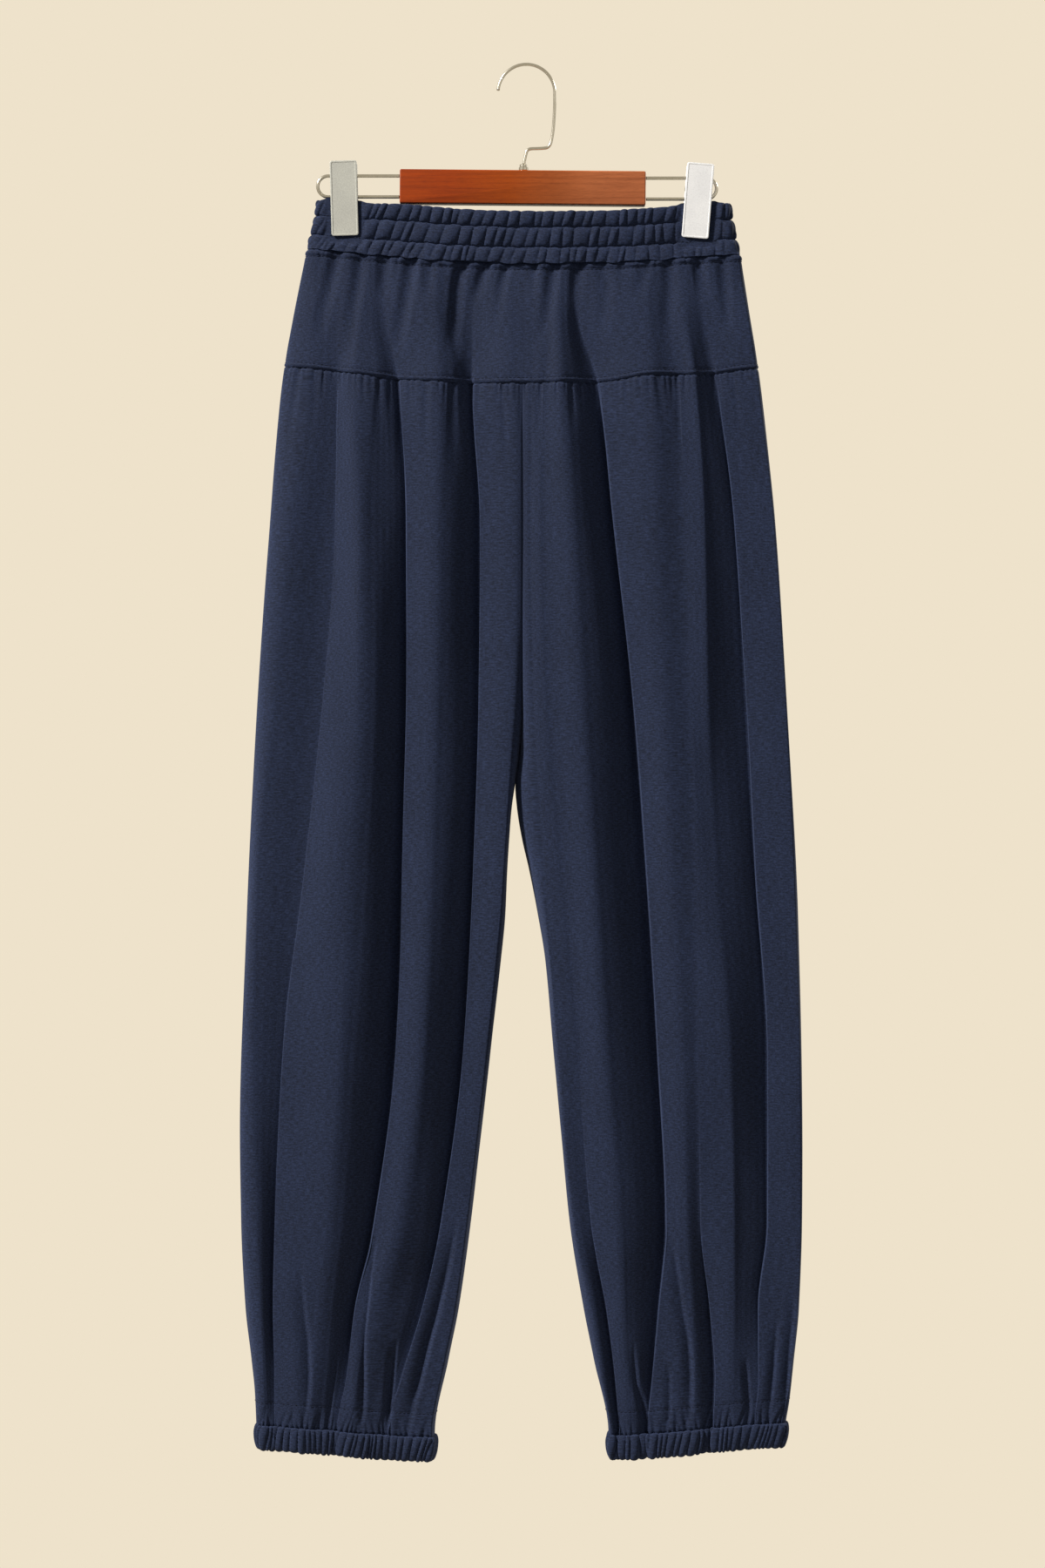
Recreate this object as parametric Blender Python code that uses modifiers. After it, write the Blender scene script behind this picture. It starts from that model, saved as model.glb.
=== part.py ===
"""Gathered jogger trousers of heavy knit, hung by two flat clips from a wooden bar hanger.

The origin is the point inside the hook where it hangs: X to the viewer's right, Y away from
the viewer, Z up.  Tables and sizes are in millimetres, a "drop" is a distance below the
origin, and MM turns them to metres where a mesh is made.  "Left" is the viewer's left.
"""

import math

import bmesh
import bpy
import numpy as np

MM = 0.001

# ---- cloth -------------------------------------------------------------------------------
CLOTH = 1.8              # one layer of heavy knit
SEAM_GAP = 0.3           # between neighbouring pieces
CENTRE_X = -3.2          # centre-front and centre-back seams
FORK_DROP = 567.0        # where the two legs part
COLUMNS_PER_FOLD = 2     # mesh columns between two fold lines
END_COLUMNS = 3          # mesh columns round a side or inside-leg edge
LEG_GATHER_COLUMNS = 3   # a small gather stands on every third column of a leg
LEG_GATHER_DIP = -0.4    # how far the columns between gathers dip, against a gather's height
TOP_GATHER = 2.0         # height of the gathers under the yoke seam
TOP_GATHER_LENGTH = 50.0
TOP_GATHER_FADE = 2.0    # power of the fall in height along a gather
HEM_GATHER = 3.0         # height of the gathers over the cuff
HEM_GATHER_LENGTH = 110.0
HEM_GATHER_FADE = 1.5
LEG_UNEVEN = (0.25, 2.4)     # spread of the gathers' heights, and the turn from one to the next
RING_UNEVEN = (0.15, 2.1)
EDGE_TURN = 4.0          # a leg's inner edge that rolls in by this much faces fully sideways
SEAM_COLUMNS = 8         # points between two fold lines, where a ring follows a seam
YOKE_ROWS = 5
SHARP_ANGLE = math.radians(30)

# Side seams of the trousers.          drop, left x, right x
SIDE_SEAMS = (
    (143, -179.6, 173.9),
    (160, -183.2, 177.5),
    (212, -193.3, 185.4),
    (263, -202.0, 193.3),
    (313, -207.0, 199.1),
    (378, -212.0, 205.6),
    (450, -217.4, 210.6),
    (558, -224.2, 216.4),
    (702, -231.1, 224.3),
    (882, -236.5, 227.9),
    (954, -235.8, 227.5),
    (1026, -232.2, 225.0),
    (1069, -227.2, 220.7),
    (1098, -224.3, 217.8),
    (1130, -223.2, 214.0),
)

# Centre seams down to the fork, inside-leg seams below it.   drop, left leg's x, right leg's x
INNER_EDGES = (
    (143, CENTRE_X, CENTRE_X),
    (530, CENTRE_X, CENTRE_X),
    (FORK_DROP, -3.9, -3.1),
    (594, -9.5, -9.1),
    (615, -12.3, -7.6),
    (637, -14.0, -4.0),
    (666, -15.8, 2.6),
    (702, -17.4, 9.6),
    (738, -20.9, 15.5),
    (810, -29.2, 22.0),
    (882, -37.4, 28.8),
    (954, -45.7, 35.6),
    (1026, -55.8, 47.2),
    (1069, -64.4, 55.8),
    (1130, -75.6, 67.8),
)

# How far the centre seams stand from the mid-plane, curving in to the fork.    drop, depth
CENTRE_DEPTHS = (
    (143, 11.0),
    (263, 18.0),
    (340, 16.0),
    (440, 15.5),
    (505, 13.0),
    (540, 8.0),
    (558, 3.5),
    (FORK_DROP, 0.0),
    (1130, 0.0),
)

# Seams that run across the cloth.     x, drop
WAIST_SEAM = (
    (-184, 151.5),
    (-140, 155.0),
    (-70, 161.0),
    (0, 163.8),
    (70, 163.0),
    (140, 158.0),
    (180, 156.0),
)
YOKE_SEAM = (
    (-204, 249.5),
    (-157, 254.0),
    (-110, 260.0),
    (-60, 263.0),
    (-12, 264.0),
    (60, 263.0),
    (106, 257.5),
    (140, 257.0),
    (194, 251.5),
)
HEM_LEFT = ((-224, 1121.5), (-75, 1130.5))
HEM_RIGHT = ((67, 1129.0), (215, 1119.5))

# Each fold line, from the side seam inwards: how far across the panel it runs, in per cent
# of the way from the side seam to the inner edge, and how far it stands from the mid-plane,
# both at these drops.
FOLD_DROPS = (163, 263, 594, 882, 990, 1066, 1128)
FRONT_LEFT_FOLDS = (
    # fold line        share across, %               depth out, mm
    ("side crest",    (4, 9, 8, 6, 5, 5, 4),        (5, 14, 20, 20, 20, 17, 15)),
    ("valley 1",      (10, 23, 19, 16, 13, 11, 10), (5, 9, 14, 13, 12, 13, 14)),
    ("shoulder 1",    (17, 28, 24, 20, 18, 17, 16), (5.4, 15, 22, 22, 20, 18, 17)),
    ("crest 1",       (26, 32, 34, 36, 35, 32, 30), (7.5, 20, 29, 29, 27, 24, 21)),
    ("valley 2",      (36, 50, 57, 60, 56, 48, 45), (8, 8.5, 8, 8, 10, 13, 16)),
    ("shoulder 2",    (41, 55, 61, 65, 61, 54, 51), (9.5, 16, 18, 18, 17, 17, 18)),
    ("crest 2",       (60, 64, 66, 70, 67, 62, 60), (12.5, 22, 26, 26, 25, 22, 20)),
    ("valley 3",      (75, 79, 84, 86, 83, 79, 78), (10.5, 8.5, 8, 8.5, 10, 13, 16)),
    ("shoulder 3",    (83, 84, 88, 90, 88, 84, 83), (11, 14, 17, 16.5, 16, 17, 17.5)),
    ("inner crest",   (96, 96, 95, 94, 93, 91, 90), (12, 20, 24, 21, 19, 18, 17)),
)
FRONT_RIGHT_FOLDS = (
    ("side crest",    (4, 4, 5, 5, 5, 5, 5),        (5, 14, 20, 20, 19, 16, 15)),
    ("shoulder 1",    (12, 13, 12, 12, 13, 14, 15), (5, 13, 16.5, 16.5, 16, 15, 15)),
    ("valley 1",      (18, 18, 17, 16, 18, 20, 22), (5, 8, 8, 8, 10, 12, 14)),
    ("crest 1",       (24, 26, 29, 30, 31, 32, 32), (5.6, 18, 24, 23, 21, 19, 17)),
    ("soft valley",   (32, 33, 38, 43, 45, 46, 46), (7.5, 16, 22, 20, 16, 13, 13)),
    ("crest 2",       (44, 47, 49, 52, 55, 59, 62), (10, 22, 27, 26, 24, 21, 18)),
    ("shoulder 2",    (71, 64, 53, 56, 59, 66, 72), (11, 16, 19, 19, 18, 17, 17)),
    ("valley 2",      (77, 69, 57, 60, 64, 71, 77), (10, 8, 8, 8, 10, 12, 14)),
    ("crest 3",       (84, 83, 75, 79, 81, 84, 86), (13, 25, 30, 28, 25, 21, 18)),
    ("soft valley 3", (90, 91, 87, 89, 90, 91, 92), (12.5, 20, 25, 20, 17, 15, 15)),
    ("inner crest",   (96, 96, 94, 95, 95, 95, 96), (12, 19, 23, 20, 18, 16, 16)),
)
BACK_LEFT_FOLDS = (
    ("side crest",    (6, 9, 8, 8, 7, 7, 7),        (5, 13, 19, 20, 18, 16, 15)),
    ("valley 1",      (18, 22, 23, 24, 22, 20, 19), (5, 9, 10, 10, 11, 13, 14)),
    ("crest 1",       (30, 36, 38, 41, 40, 38, 36), (7, 19, 26, 27, 25, 21, 18)),
    ("valley 2",      (44, 50, 53, 57, 56, 54, 52), (8.5, 10, 9, 8, 10, 13, 15)),
    ("crest 2",       (60, 64, 68, 71, 71, 69, 68), (12, 20, 27, 27, 25, 22, 18)),
    ("valley 3",      (76, 80, 82, 84, 83, 81, 80), (11, 11, 13, 12, 12, 13, 14)),
    ("inner crest",   (90, 92, 93, 93, 92, 92, 92), (12, 17, 21, 21, 20, 18, 16)),
)
BACK_RIGHT_FOLDS = (
    ("side crest",    (6, 8, 8, 7, 7, 7, 7),        (5, 14, 20, 20, 19, 16, 15)),
    ("valley 1",      (16, 18, 19, 20, 21, 22, 22), (5, 9, 11, 10, 11, 13, 14)),
    ("crest 1",       (26, 30, 33, 34, 35, 35, 36), (6, 18, 25, 26, 24, 21, 18)),
    ("valley 2",      (42, 46, 48, 50, 51, 51, 52), (8.5, 11, 9, 9, 10, 13, 15)),
    ("crest 2",       (56, 59, 62, 65, 66, 67, 67), (12, 21, 28, 27, 25, 22, 18)),
    ("valley 3",      (73, 75, 77, 79, 80, 80, 80), (11, 10, 10, 10, 12, 13, 14)),
    ("inner crest",   (91, 92, 92, 92, 92, 92, 92), (12, 18, 22, 21, 20, 18, 16)),
)

# Height of each mesh row of a leg, as a share of the way from the yoke seam to the hem.
LEG_ROWS = (0, 0.014, 0.04, 0.10, 0.19, 0.27, 0.32, 0.342, 0.353, 0.385,
            0.45, 0.55, 0.66, 0.76, 0.85, 0.91, 0.955, 0.985, 1)

# ---- waistband ---------------------------------------------------------------------------
WAIST_GATHERS = 64
WAIST_GATHER_HEIGHT = 1.6
END_ROUND = 9.0          # how far in from each end the band curves round
BAND_POINTS = 160        # points across each face of the band before they are spaced evenly
SEAM_BLEND = 4           # power by which the band's ring turns into the seam's ring
HELD_PUFF = 0.3          # what is left of the puffs under a jaw
BAND_EDGES = (           # share down the band, left x, right x
    (0.0, -172.3, 167.8),
    (0.5, -175.6, 171.2),
    (1.0, -180.6, 175.4),
)
BAND_TOP = (             # x, drop, front depth, back depth; narrow where the clips pinch it
    (-172.3, 111.0, 3.8, 3.8),
    (-162.0, 110.6, 4.0, 4.0),
    (-150.5, 111.4, 4.1, 4.1),
    (-138.0, 113.2, 4.5, 4.5),
    (-97.0, 115.4, 8.0, 9.0),
    (-55.0, 119.4, 11.0, 12.5),
    (-5.0, 121.4, 12.5, 14.0),
    (60.0, 120.8, 11.0, 12.5),
    (100.0, 118.2, 8.0, 9.0),
    (127.0, 115.5, 4.4, 4.5),
    (141.5, 113.8, 4.1, 4.1),
    (155.0, 113.3, 4.0, 4.0),
    (167.8, 113.4, 3.8, 3.8),
)
BAND_SECTION = (         # share down the band, puff out from the ring, share of the gathers
    (0.00, 0.6, 0.6),
    (0.17, 2.0, 1.0),
    (0.31, 1.2, 0.6),
    (0.34, 0.0, 0.2),
    (0.37, 1.2, 0.6),
    (0.52, 2.1, 1.0),
    (0.67, 1.2, 0.6),
    (0.70, 0.0, 0.2),
    (0.73, 1.2, 0.6),
    (0.87, 1.9, 1.0),
    (1.00, 0.2, 0.3),
    (1.00, -2.2, 0.0),
    (0.00, -2.2, 0.0),
)

# ---- cuffs -------------------------------------------------------------------------------
CUFF_GATHERS = 36
CUFF_GATHER_HEIGHT = 1.5
CUFF_HEIGHT = 20.5
CUFF_SECTION = (         # share down the cuff, puff out from the ring, share of the gathers
    (0.00, 0.1, 0.2),
    (0.15, 1.7, 0.8),
    (0.50, 2.3, 1.0),
    (0.85, 1.8, 1.0),
    (1.00, 0.4, 0.8),
    (1.00, -1.8, 0.0),
    (0.00, -1.8, 0.0),
)
CUFF_PULL_IN = 0.97      # width of the cuff's lower edge against its seam

# ---- hanger ------------------------------------------------------------------------------
HANGER_TILT = math.radians(0.5)      # the bar hangs a little low on the right
BAR_SIZE = (203.0, 13.0, 28.0)
BAR_CENTRE = (-3.0, 0.0, -101.0)
BAR_BEVEL = 1.0
BAR_CORNER = 1.2
RAIL_RADIUS = 1.4
RAIL_SPACING = 17.3
RAIL_TUCK = 0.3                      # the rails stop just short of the bar's end faces
RAIL_BEND_STEPS = 8
RAIL_LEFT = {"outer_x": -172.5, "upper_drop": 91.0}
RAIL_RIGHT = {"outer_x": 157.2, "upper_drop": 92.8}
HOOK_WIRE = 1.3                      # radius of the wire
HOOK_RADIUS = 23.4                   # to the middle of the wire
HOOK_SPAN = (176.0, -3.0)            # degrees: from the tip over the top to the shank
HOOK_POINTS = 15
SHANK = (                            # x, drop: down the neck to the ferrule
    (23.4, 30.0),
    (22.6, 48.0),
    (21.0, 60.0),
    (19.6, 65.0),
    (16.4, 67.8),
    (10.0, 68.3),
    (3.6, 68.5),
    (0.6, 70.2),
    (-0.6, 74.0),
    (-2.1, 80.9),
)
FERRULE_TOP = 81.2
FERRULE_RADIUS = 4.0
FERRULE_X = -2.3
FERRULE_NECK = 0.8                   # radius of its top edge against its own
FERRULE_SHOULDER = 0.7               # height of its widest edge against half its own
TURNED_SIDES = 16
CLIP_PLATE = (22.3, 1.2, 62.0)
CLIP_BEVEL = 0.3
CLIP_CORNER = 2.0
CLIP_INNER_FACE = 5.7                # from the mid-plane to the jaw's inner face
CLIP_LEFT = {"centre": (-150.4, -110.2), "tilt": math.radians(-1.6)}
CLIP_RIGHT = {"centre": (141.6, -112.2), "tilt": math.radians(4.6)}
CLIP_REACH = 14.0                    # half the width of band that a jaw flattens
CLIP_EASE = 5.0                      # over which the band recovers beside a jaw
BAND_HELD = 0.76                     # share down the band as far as which a jaw holds it
BAND_FREE = 0.84                     # share down the band where it is full again
BARREL_RADIUS = 4.9
BARREL_BORE = 1.9
BARREL_LENGTH = 17.0


# ---- curves through the tables -----------------------------------------------------------
def monotone_slopes(stations, values):
    """Slopes that keep a cubic from overshooting; the first axis runs along the table."""
    step = np.diff(stations, axis=0)
    rise = np.diff(values, axis=0) / np.maximum(step, 1e-9)
    slopes = np.zeros_like(values)
    same_way = rise[:-1] * rise[1:] > 0
    total = np.where(same_way, rise[:-1] + rise[1:], 1.0)
    slopes[1:-1] = np.where(same_way, 2 * rise[:-1] * rise[1:] / total, 0.0)
    return slopes


def cubic(share, width, start, end, slope_start, slope_end):
    """Cubic from start to end over a width, at a share of the way."""
    back = 1 - share
    return (start * back ** 2 * (1 + 2 * share) + end * share ** 2 * (3 - 2 * share)
            + width * share * back * (slope_start * back - slope_end * share))


def through(stations, values, at):
    """The smooth curve through a table, read at one place or many."""
    stations = np.asarray(stations, float)
    values = np.asarray(values, float)
    at = np.clip(at, stations[0], stations[-1])
    slopes = monotone_slopes(stations, values)
    index = np.clip(np.searchsorted(stations, at, side="right") - 1, 0, len(stations) - 2)
    width = stations[index + 1] - stations[index]
    share = (at - stations[index]) / width
    return cubic(share, width, values[index], values[index + 1], slopes[index], slopes[index + 1])


def table(rows, column, at):
    """One named column of a table, read against its first column."""
    return through([row[0] for row in rows], [row[column] for row in rows], at)


# ---- the trousers' form ------------------------------------------------------------------
PANELS = {
    "front_left": {"side": 1, "face": -1, "folds": FRONT_LEFT_FOLDS},
    "front_right": {"side": 2, "face": -1, "folds": FRONT_RIGHT_FOLDS},
    "back_left": {"side": 1, "face": 1, "folds": BACK_LEFT_FOLDS},
    "back_right": {"side": 2, "face": 1, "folds": BACK_RIGHT_FOLDS},
}


def fold_columns(folds, per_fold, at_ends):
    """Places along the fold lines for mesh columns: whole numbers are the lines themselves."""
    last = len(folds) + 1
    start = np.linspace(0, 1, at_ends + 1)
    middle = np.linspace(1, last - 1, (last - 2) * per_fold + 1)
    end = np.linspace(last - 1, last, at_ends + 1)
    return np.concatenate((start[:-1], middle, end[1:]))


def form(panel, along, drop):
    """x and y of the cloth's face, at a place along the fold lines and a drop."""
    folds = panel["folds"]
    along, drop = np.broadcast_arrays(np.asarray(along, float), np.asarray(drop, float))
    edge = table(CENTRE_DEPTHS, 1, drop)
    shares = [np.zeros(drop.shape)]
    depths = [np.zeros(drop.shape)]
    for name, share, depth in folds:
        shares.append(through(FOLD_DROPS, share, drop) / 100)
        depths.append(through(FOLD_DROPS, depth, drop))
    shares = np.array(shares + [np.ones(drop.shape)])
    depths = np.array(depths + [edge])
    slopes = monotone_slopes(shares, depths)
    last = len(folds) + 1
    index = np.clip(np.floor(along).astype(int), 0, last - 1)[None]
    part = along - index[0]

    def at(values, offset):
        return np.take_along_axis(values, index + offset, axis=0)[0]

    width = at(shares, 1) - at(shares, 0)
    share = at(shares, 0) + part * width
    depth = cubic(part, width, at(depths, 0), at(depths, 1), at(slopes, 0), at(slopes, 1))
    turn = part * math.pi / 2
    outer = index[0] == 0
    share = np.where(outer, shares[1] * (1 - np.cos(turn)), share)
    depth = np.where(outer, depths[1] * np.sin(turn), depth)
    turn = (1 - part) * math.pi / 2
    inner = index[0] == last - 1
    share = np.where(inner, 1 - (1 - shares[-2]) * (1 - np.cos(turn)), share)
    depth = np.where(inner, edge + (depths[-2] - edge) * np.sin(turn), depth)
    side_x = table(SIDE_SEAMS, panel["side"], drop)
    inner_x = table(INNER_EDGES, panel["side"], drop)
    x = side_x + share * (inner_x - side_x)
    return x, panel["face"] * (depth + SEAM_GAP / 2)


def drop_on_seam(panel, along, seam):
    """The drop at which each column meets a seam that runs across the cloth."""
    drop = np.full(np.shape(along), seam[len(seam) // 2][1], float)
    for _ in range(4):
        drop = table(seam, 1, form(panel, along, drop)[0])
    return drop


def panel_face(panel, along, shares_down, top_seam, bottom_seam):
    """x, y and drop of a panel's outer face, one row for each share of the way down."""
    top = drop_on_seam(panel, along, top_seam) + SEAM_GAP / 2
    bottom = drop_on_seam(panel, along, bottom_seam) - SEAM_GAP / 2
    down = np.asarray(shares_down)[:, None]
    drop = top + down * (bottom - top)
    x, y = form(panel, np.broadcast_to(along, drop.shape), drop)
    return np.stack((x, y, drop), axis=-1)


def outward(face, side):
    """Level unit normals of a panel's face, pointing away from the wearer."""
    along = np.gradient(face[..., :2], axis=1)
    normal = np.stack((along[..., 1], -along[..., 0]), axis=-1)
    normal *= np.sign(side * np.sum(normal[..., 1:], axis=-1, keepdims=True) + 1e-12)
    return normal / np.maximum(np.linalg.norm(normal, axis=-1, keepdims=True), 1e-9)


def inner_face(face, panel_side, ends):
    """The plain inside of a wall, one cloth away from its face.

    ends gives the way out, left or right, of the first and the last column: -1, 1 or 0
    for a column that isn't an edge seen from the side.
    """
    normal = outward(face, panel_side)
    for column, way in zip((0, -1), ends):
        if np.ndim(way) or way:
            level = np.broadcast_to(np.asarray(way, float), face.shape[:1])
            normal[:, column, 0] = level
            normal[:, column, 1] = panel_side * (1 - np.abs(level))
    length = np.linalg.norm(normal, axis=-1, keepdims=True)
    inside = face.copy()
    inside[..., :2] -= CLOTH * normal / np.maximum(length, 1e-9)
    return inside


# ---- meshes ------------------------------------------------------------------------------
def to_world(points):
    """x, y and drop in millimetres to world metres."""
    world = np.array(points, float) * MM
    world[..., 2] *= -1
    return world


def new_object(name, mesh):
    item = bpy.data.objects.new(name, mesh)
    parts.objects.link(item)
    return item


def finish_mesh(item, rounded=True):
    """Faces out, and smooth shading with the sharp edges kept."""
    mesh = item.data
    work = bmesh.new()
    work.from_mesh(mesh)
    bmesh.ops.recalc_face_normals(work, faces=work.faces)
    work.to_mesh(mesh)
    work.free()
    if rounded:
        mesh.shade_smooth()
        mesh.set_sharp_from_angle(angle=SHARP_ANGLE)


def sheet_wall(name, face, inside):
    """A closed wall between two grids of points with the same rows and columns."""
    rows, columns = face.shape[:2]
    outer_points = to_world(face)
    inner_points = to_world(inside)
    work = bmesh.new()
    bmesh.ops.create_grid(work, x_segments=columns - 1, y_segments=rows - 1, size=0.5)
    inner_side = list(work.verts)
    made = bmesh.ops.extrude_face_region(work, geom=work.faces[:], use_keep_orig=True)
    outer_side = [part for part in made["geom"] if isinstance(part, bmesh.types.BMVert)]
    for side, points in ((inner_side, inner_points), (outer_side, outer_points)):
        for vert in side:
            column = round((vert.co.x + 0.5) * (columns - 1))
            row = round((vert.co.y + 0.5) * (rows - 1))
            vert.co = points[row, column]
    mesh = bpy.data.meshes.new(name)
    work.to_mesh(mesh)
    work.free()
    item = new_object(name, mesh)
    finish_mesh(item)
    return item


def ring_wall(name, rings):
    """A closed ring whose section is closed too: one ring of points for each section point."""
    sections, columns = rings.shape[:2]
    bpy.ops.mesh.primitive_torus_add(major_segments=columns, minor_segments=sections,
                                     generate_uvs=False)
    item = bpy.context.object
    item.name = name
    item.data.name = name
    adopt(item)
    points = to_world(rings).transpose(1, 0, 2)
    item.data.vertices.foreach_set("co", points.reshape(-1))
    item.data.update()
    finish_mesh(item)
    return item


def adopt(item):
    """Move an object that a primitive made into the trousers' collection."""
    for owner in list(item.users_collection):
        owner.objects.unlink(item)
    parts.objects.link(item)


def make_material(name, colour, roughness, metallic=0.0):
    material = bpy.data.materials.new(name)
    material.use_nodes = True
    shader = material.node_tree.nodes["Principled BSDF"]
    shader.inputs["Base Color"].default_value = (*colour, 1.0)
    shader.inputs["Roughness"].default_value = roughness
    shader.inputs["Metallic"].default_value = metallic
    return material


def wear(item, material):
    """Give an object a material of its own, named for it."""
    own = material.copy()
    own.name = f"{item.name}_{material.name}"
    item.data.materials.append(own)


# ---- yokes and legs ----------------------------------------------------------------------
def make_yoke(name, left, right):
    """One panel from side seam to side seam, between the waist seam and the yoke seam."""
    shares = np.linspace(0, 1, YOKE_ROWS)
    halves = []
    for panel in (left, right):
        along = fold_columns(panel["folds"], COLUMNS_PER_FOLD, END_COLUMNS)[:-END_COLUMNS]
        halves.append(panel_face(panel, along, shares, WAIST_SEAM, YOKE_SEAM))
    face = np.concatenate((halves[0], halves[1][:, ::-1]), axis=1)
    return sheet_wall(name, face, inner_face(face, left["face"], (-1, 1)))


def uneven(numbers, spread, turn):
    """Factors up to 1 in no regular order, for gathers of uneven height."""
    return 1 - spread + spread * np.sin(turn * numbers)


def leg_gathers(face):
    """How far each point is raised by the short gathers at the yoke seam and over the cuff."""
    below_top = face[..., 2] - face[:1, :, 2]
    above_hem = face[-1:, :, 2] - face[..., 2]
    columns = np.arange(face.shape[1])
    ridge = np.where(columns % LEG_GATHER_COLUMNS == 1, 1.0, LEG_GATHER_DIP)
    ridge = ridge * uneven(columns, *LEG_UNEVEN)
    ridge[[0, -1]] = 0
    top = TOP_GATHER * np.clip(1 - below_top / TOP_GATHER_LENGTH, 0, 1) ** TOP_GATHER_FADE
    hem = HEM_GATHER * np.clip(1 - above_hem / HEM_GATHER_LENGTH, 0, 1) ** HEM_GATHER_FADE
    return (top + hem) * ridge


def make_leg(name, panel, hem):
    """A leg panel from the yoke seam to the cuff, with its inner edge open to its neighbour."""
    along = fold_columns(panel["folds"], COLUMNS_PER_FOLD, END_COLUMNS)
    face = panel_face(panel, along, LEG_ROWS, YOKE_SEAM, hem)
    to_side = -1 if panel["side"] == 1 else 1
    face[:, -1, 0] += to_side * SEAM_GAP / 2
    edge_roll = np.abs(face[:, -1 - END_COLUMNS, 1] - face[:, -1, 1])
    turned = np.clip(edge_roll / EDGE_TURN, 0, 1)
    inside = inner_face(face, panel["face"], (to_side, -to_side * turned))
    raised = face.copy()
    raised[..., 1] += panel["face"] * leg_gathers(face)
    return sheet_wall(name, raised, inside)


# ---- waistband and cuffs -----------------------------------------------------------------
def resample(ring, count):
    """A closed ring of points at even distances round it."""
    closed = np.concatenate((ring, ring[:1]))
    steps = np.linalg.norm(np.diff(closed[:, :2], axis=0), axis=1)
    travel = np.concatenate(([0], np.cumsum(steps)))
    wanted = np.linspace(0, travel[-1], count, endpoint=False)
    return np.stack([np.interp(wanted, travel, closed[:, axis]) for axis in range(3)], axis=-1)


def seam_ring(front, back, seam, gap, count):
    """The ring in which front and back panels meet a seam, left end first, front first.

    front and back each list the panels from left to right.
    """
    sides = []
    for panels in (front, back):
        points = []
        for panel, reverse in panels:
            along = fold_columns(panel["folds"], SEAM_COLUMNS, SEAM_COLUMNS)
            if reverse:
                along = along[::-1]
            drop = drop_on_seam(panel, along, seam)
            x, y = form(panel, along, drop)
            points.append(np.stack((x, y, drop + gap), axis=-1))
        sides.append(np.concatenate(points))
    return resample(np.concatenate((sides[0], sides[1][::-1])), count)


def ring_normals(ring):
    """Level unit normals of a closed ring that runs front first, left to right."""
    along = np.roll(ring, -1, axis=0) - np.roll(ring, 1, axis=0)
    normal = np.stack((along[:, 1], -along[:, 0]), axis=-1)
    return normal / np.linalg.norm(normal, axis=1, keepdims=True)


def gather_wave(count, gathers):
    """Up and down in turn for each gather, as uneven as elastic leaves them."""
    gather, foot = np.divmod(np.arange(count), count // gathers)
    height = uneven(gather, *RING_UNEVEN)
    return np.where(foot == 0, height, -height)


def band_ring(share, count):
    """The waistband's ring at a share of the way down, before its puffs and gathers."""
    left = table(BAND_EDGES, 1, share)
    right = table(BAND_EDGES, 2, share)
    turn = np.linspace(0, math.pi, BAND_POINTS)
    spread = (1 - np.cos(turn)) / 2
    x = left + spread * (right - left)
    top_x = BAND_TOP[0][0] + spread * (BAND_TOP[-1][0] - BAND_TOP[0][0])
    from_end = np.minimum(x - left, right - x) / END_ROUND
    rounding = np.sqrt(1 - (1 - np.clip(from_end, 0, 1)) ** 2)
    top_drop = table(BAND_TOP, 1, top_x)
    drop = top_drop + share * (table(WAIST_SEAM, 1, x) - SEAM_GAP / 2 - top_drop)
    front = np.stack((x, -table(BAND_TOP, 2, top_x) * rounding, drop), axis=-1)
    back = np.stack((x, table(BAND_TOP, 3, top_x) * rounding, drop), axis=-1)
    return resample(np.concatenate((front, back[-2:0:-1])), count)


def clip_flattening(ring, share):
    """1 under a jaw, where the puffs and gathers are pressed flat, and 0 away from it."""
    flat = np.zeros(len(ring))
    for clip in (CLIP_LEFT, CLIP_RIGHT):
        away = np.abs(ring[:, 0] - clip["centre"][0])
        flat = np.maximum(flat, np.clip((CLIP_REACH - away) / CLIP_EASE + 1, 0, 1))
    return flat * np.clip((BAND_FREE - share) / (BAND_FREE - BAND_HELD), 0, 1)


def make_waistband():
    count = 2 * WAIST_GATHERS
    wave = gather_wave(count, WAIST_GATHERS) * WAIST_GATHER_HEIGHT
    front = ((PANELS["front_left"], False), (PANELS["front_right"], True))
    back = ((PANELS["back_left"], False), (PANELS["back_right"], True))
    seam = seam_ring(front, back, WAIST_SEAM, -SEAM_GAP / 2, count)
    rings = []
    for share, puff, gathered in BAND_SECTION:
        ring = band_ring(share, count)
        ring += (seam - ring) * share ** SEAM_BLEND
        out = puff + gathered * wave
        if puff > 0:
            out = out - (out - HELD_PUFF) * clip_flattening(ring, share)
        ring[:, :2] += ring_normals(ring) * out[:, None]
        rings.append(ring)
    item = ring_wall("waistband", np.array(rings))
    wear(item, knit)


def make_cuff(name, front, back, hem):
    count = 2 * CUFF_GATHERS
    wave = gather_wave(count, CUFF_GATHERS) * CUFF_GATHER_HEIGHT
    seam = seam_ring(front, back, hem, SEAM_GAP / 2, count)
    middle = seam.mean(axis=0)
    rings = []
    for share, puff, gathered in CUFF_SECTION:
        ring = seam.copy()
        pull = 1 - (1 - CUFF_PULL_IN) * share
        ring[:, :2] = middle[:2] + (ring[:, :2] - middle[:2]) * pull
        ring[:, 2] += share * (CUFF_HEIGHT - SEAM_GAP)
        ring[:, :2] += ring_normals(ring) * (puff + gathered * wave)[:, None]
        rings.append(ring)
    item = ring_wall(name, np.array(rings))
    wear(item, knit)


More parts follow.
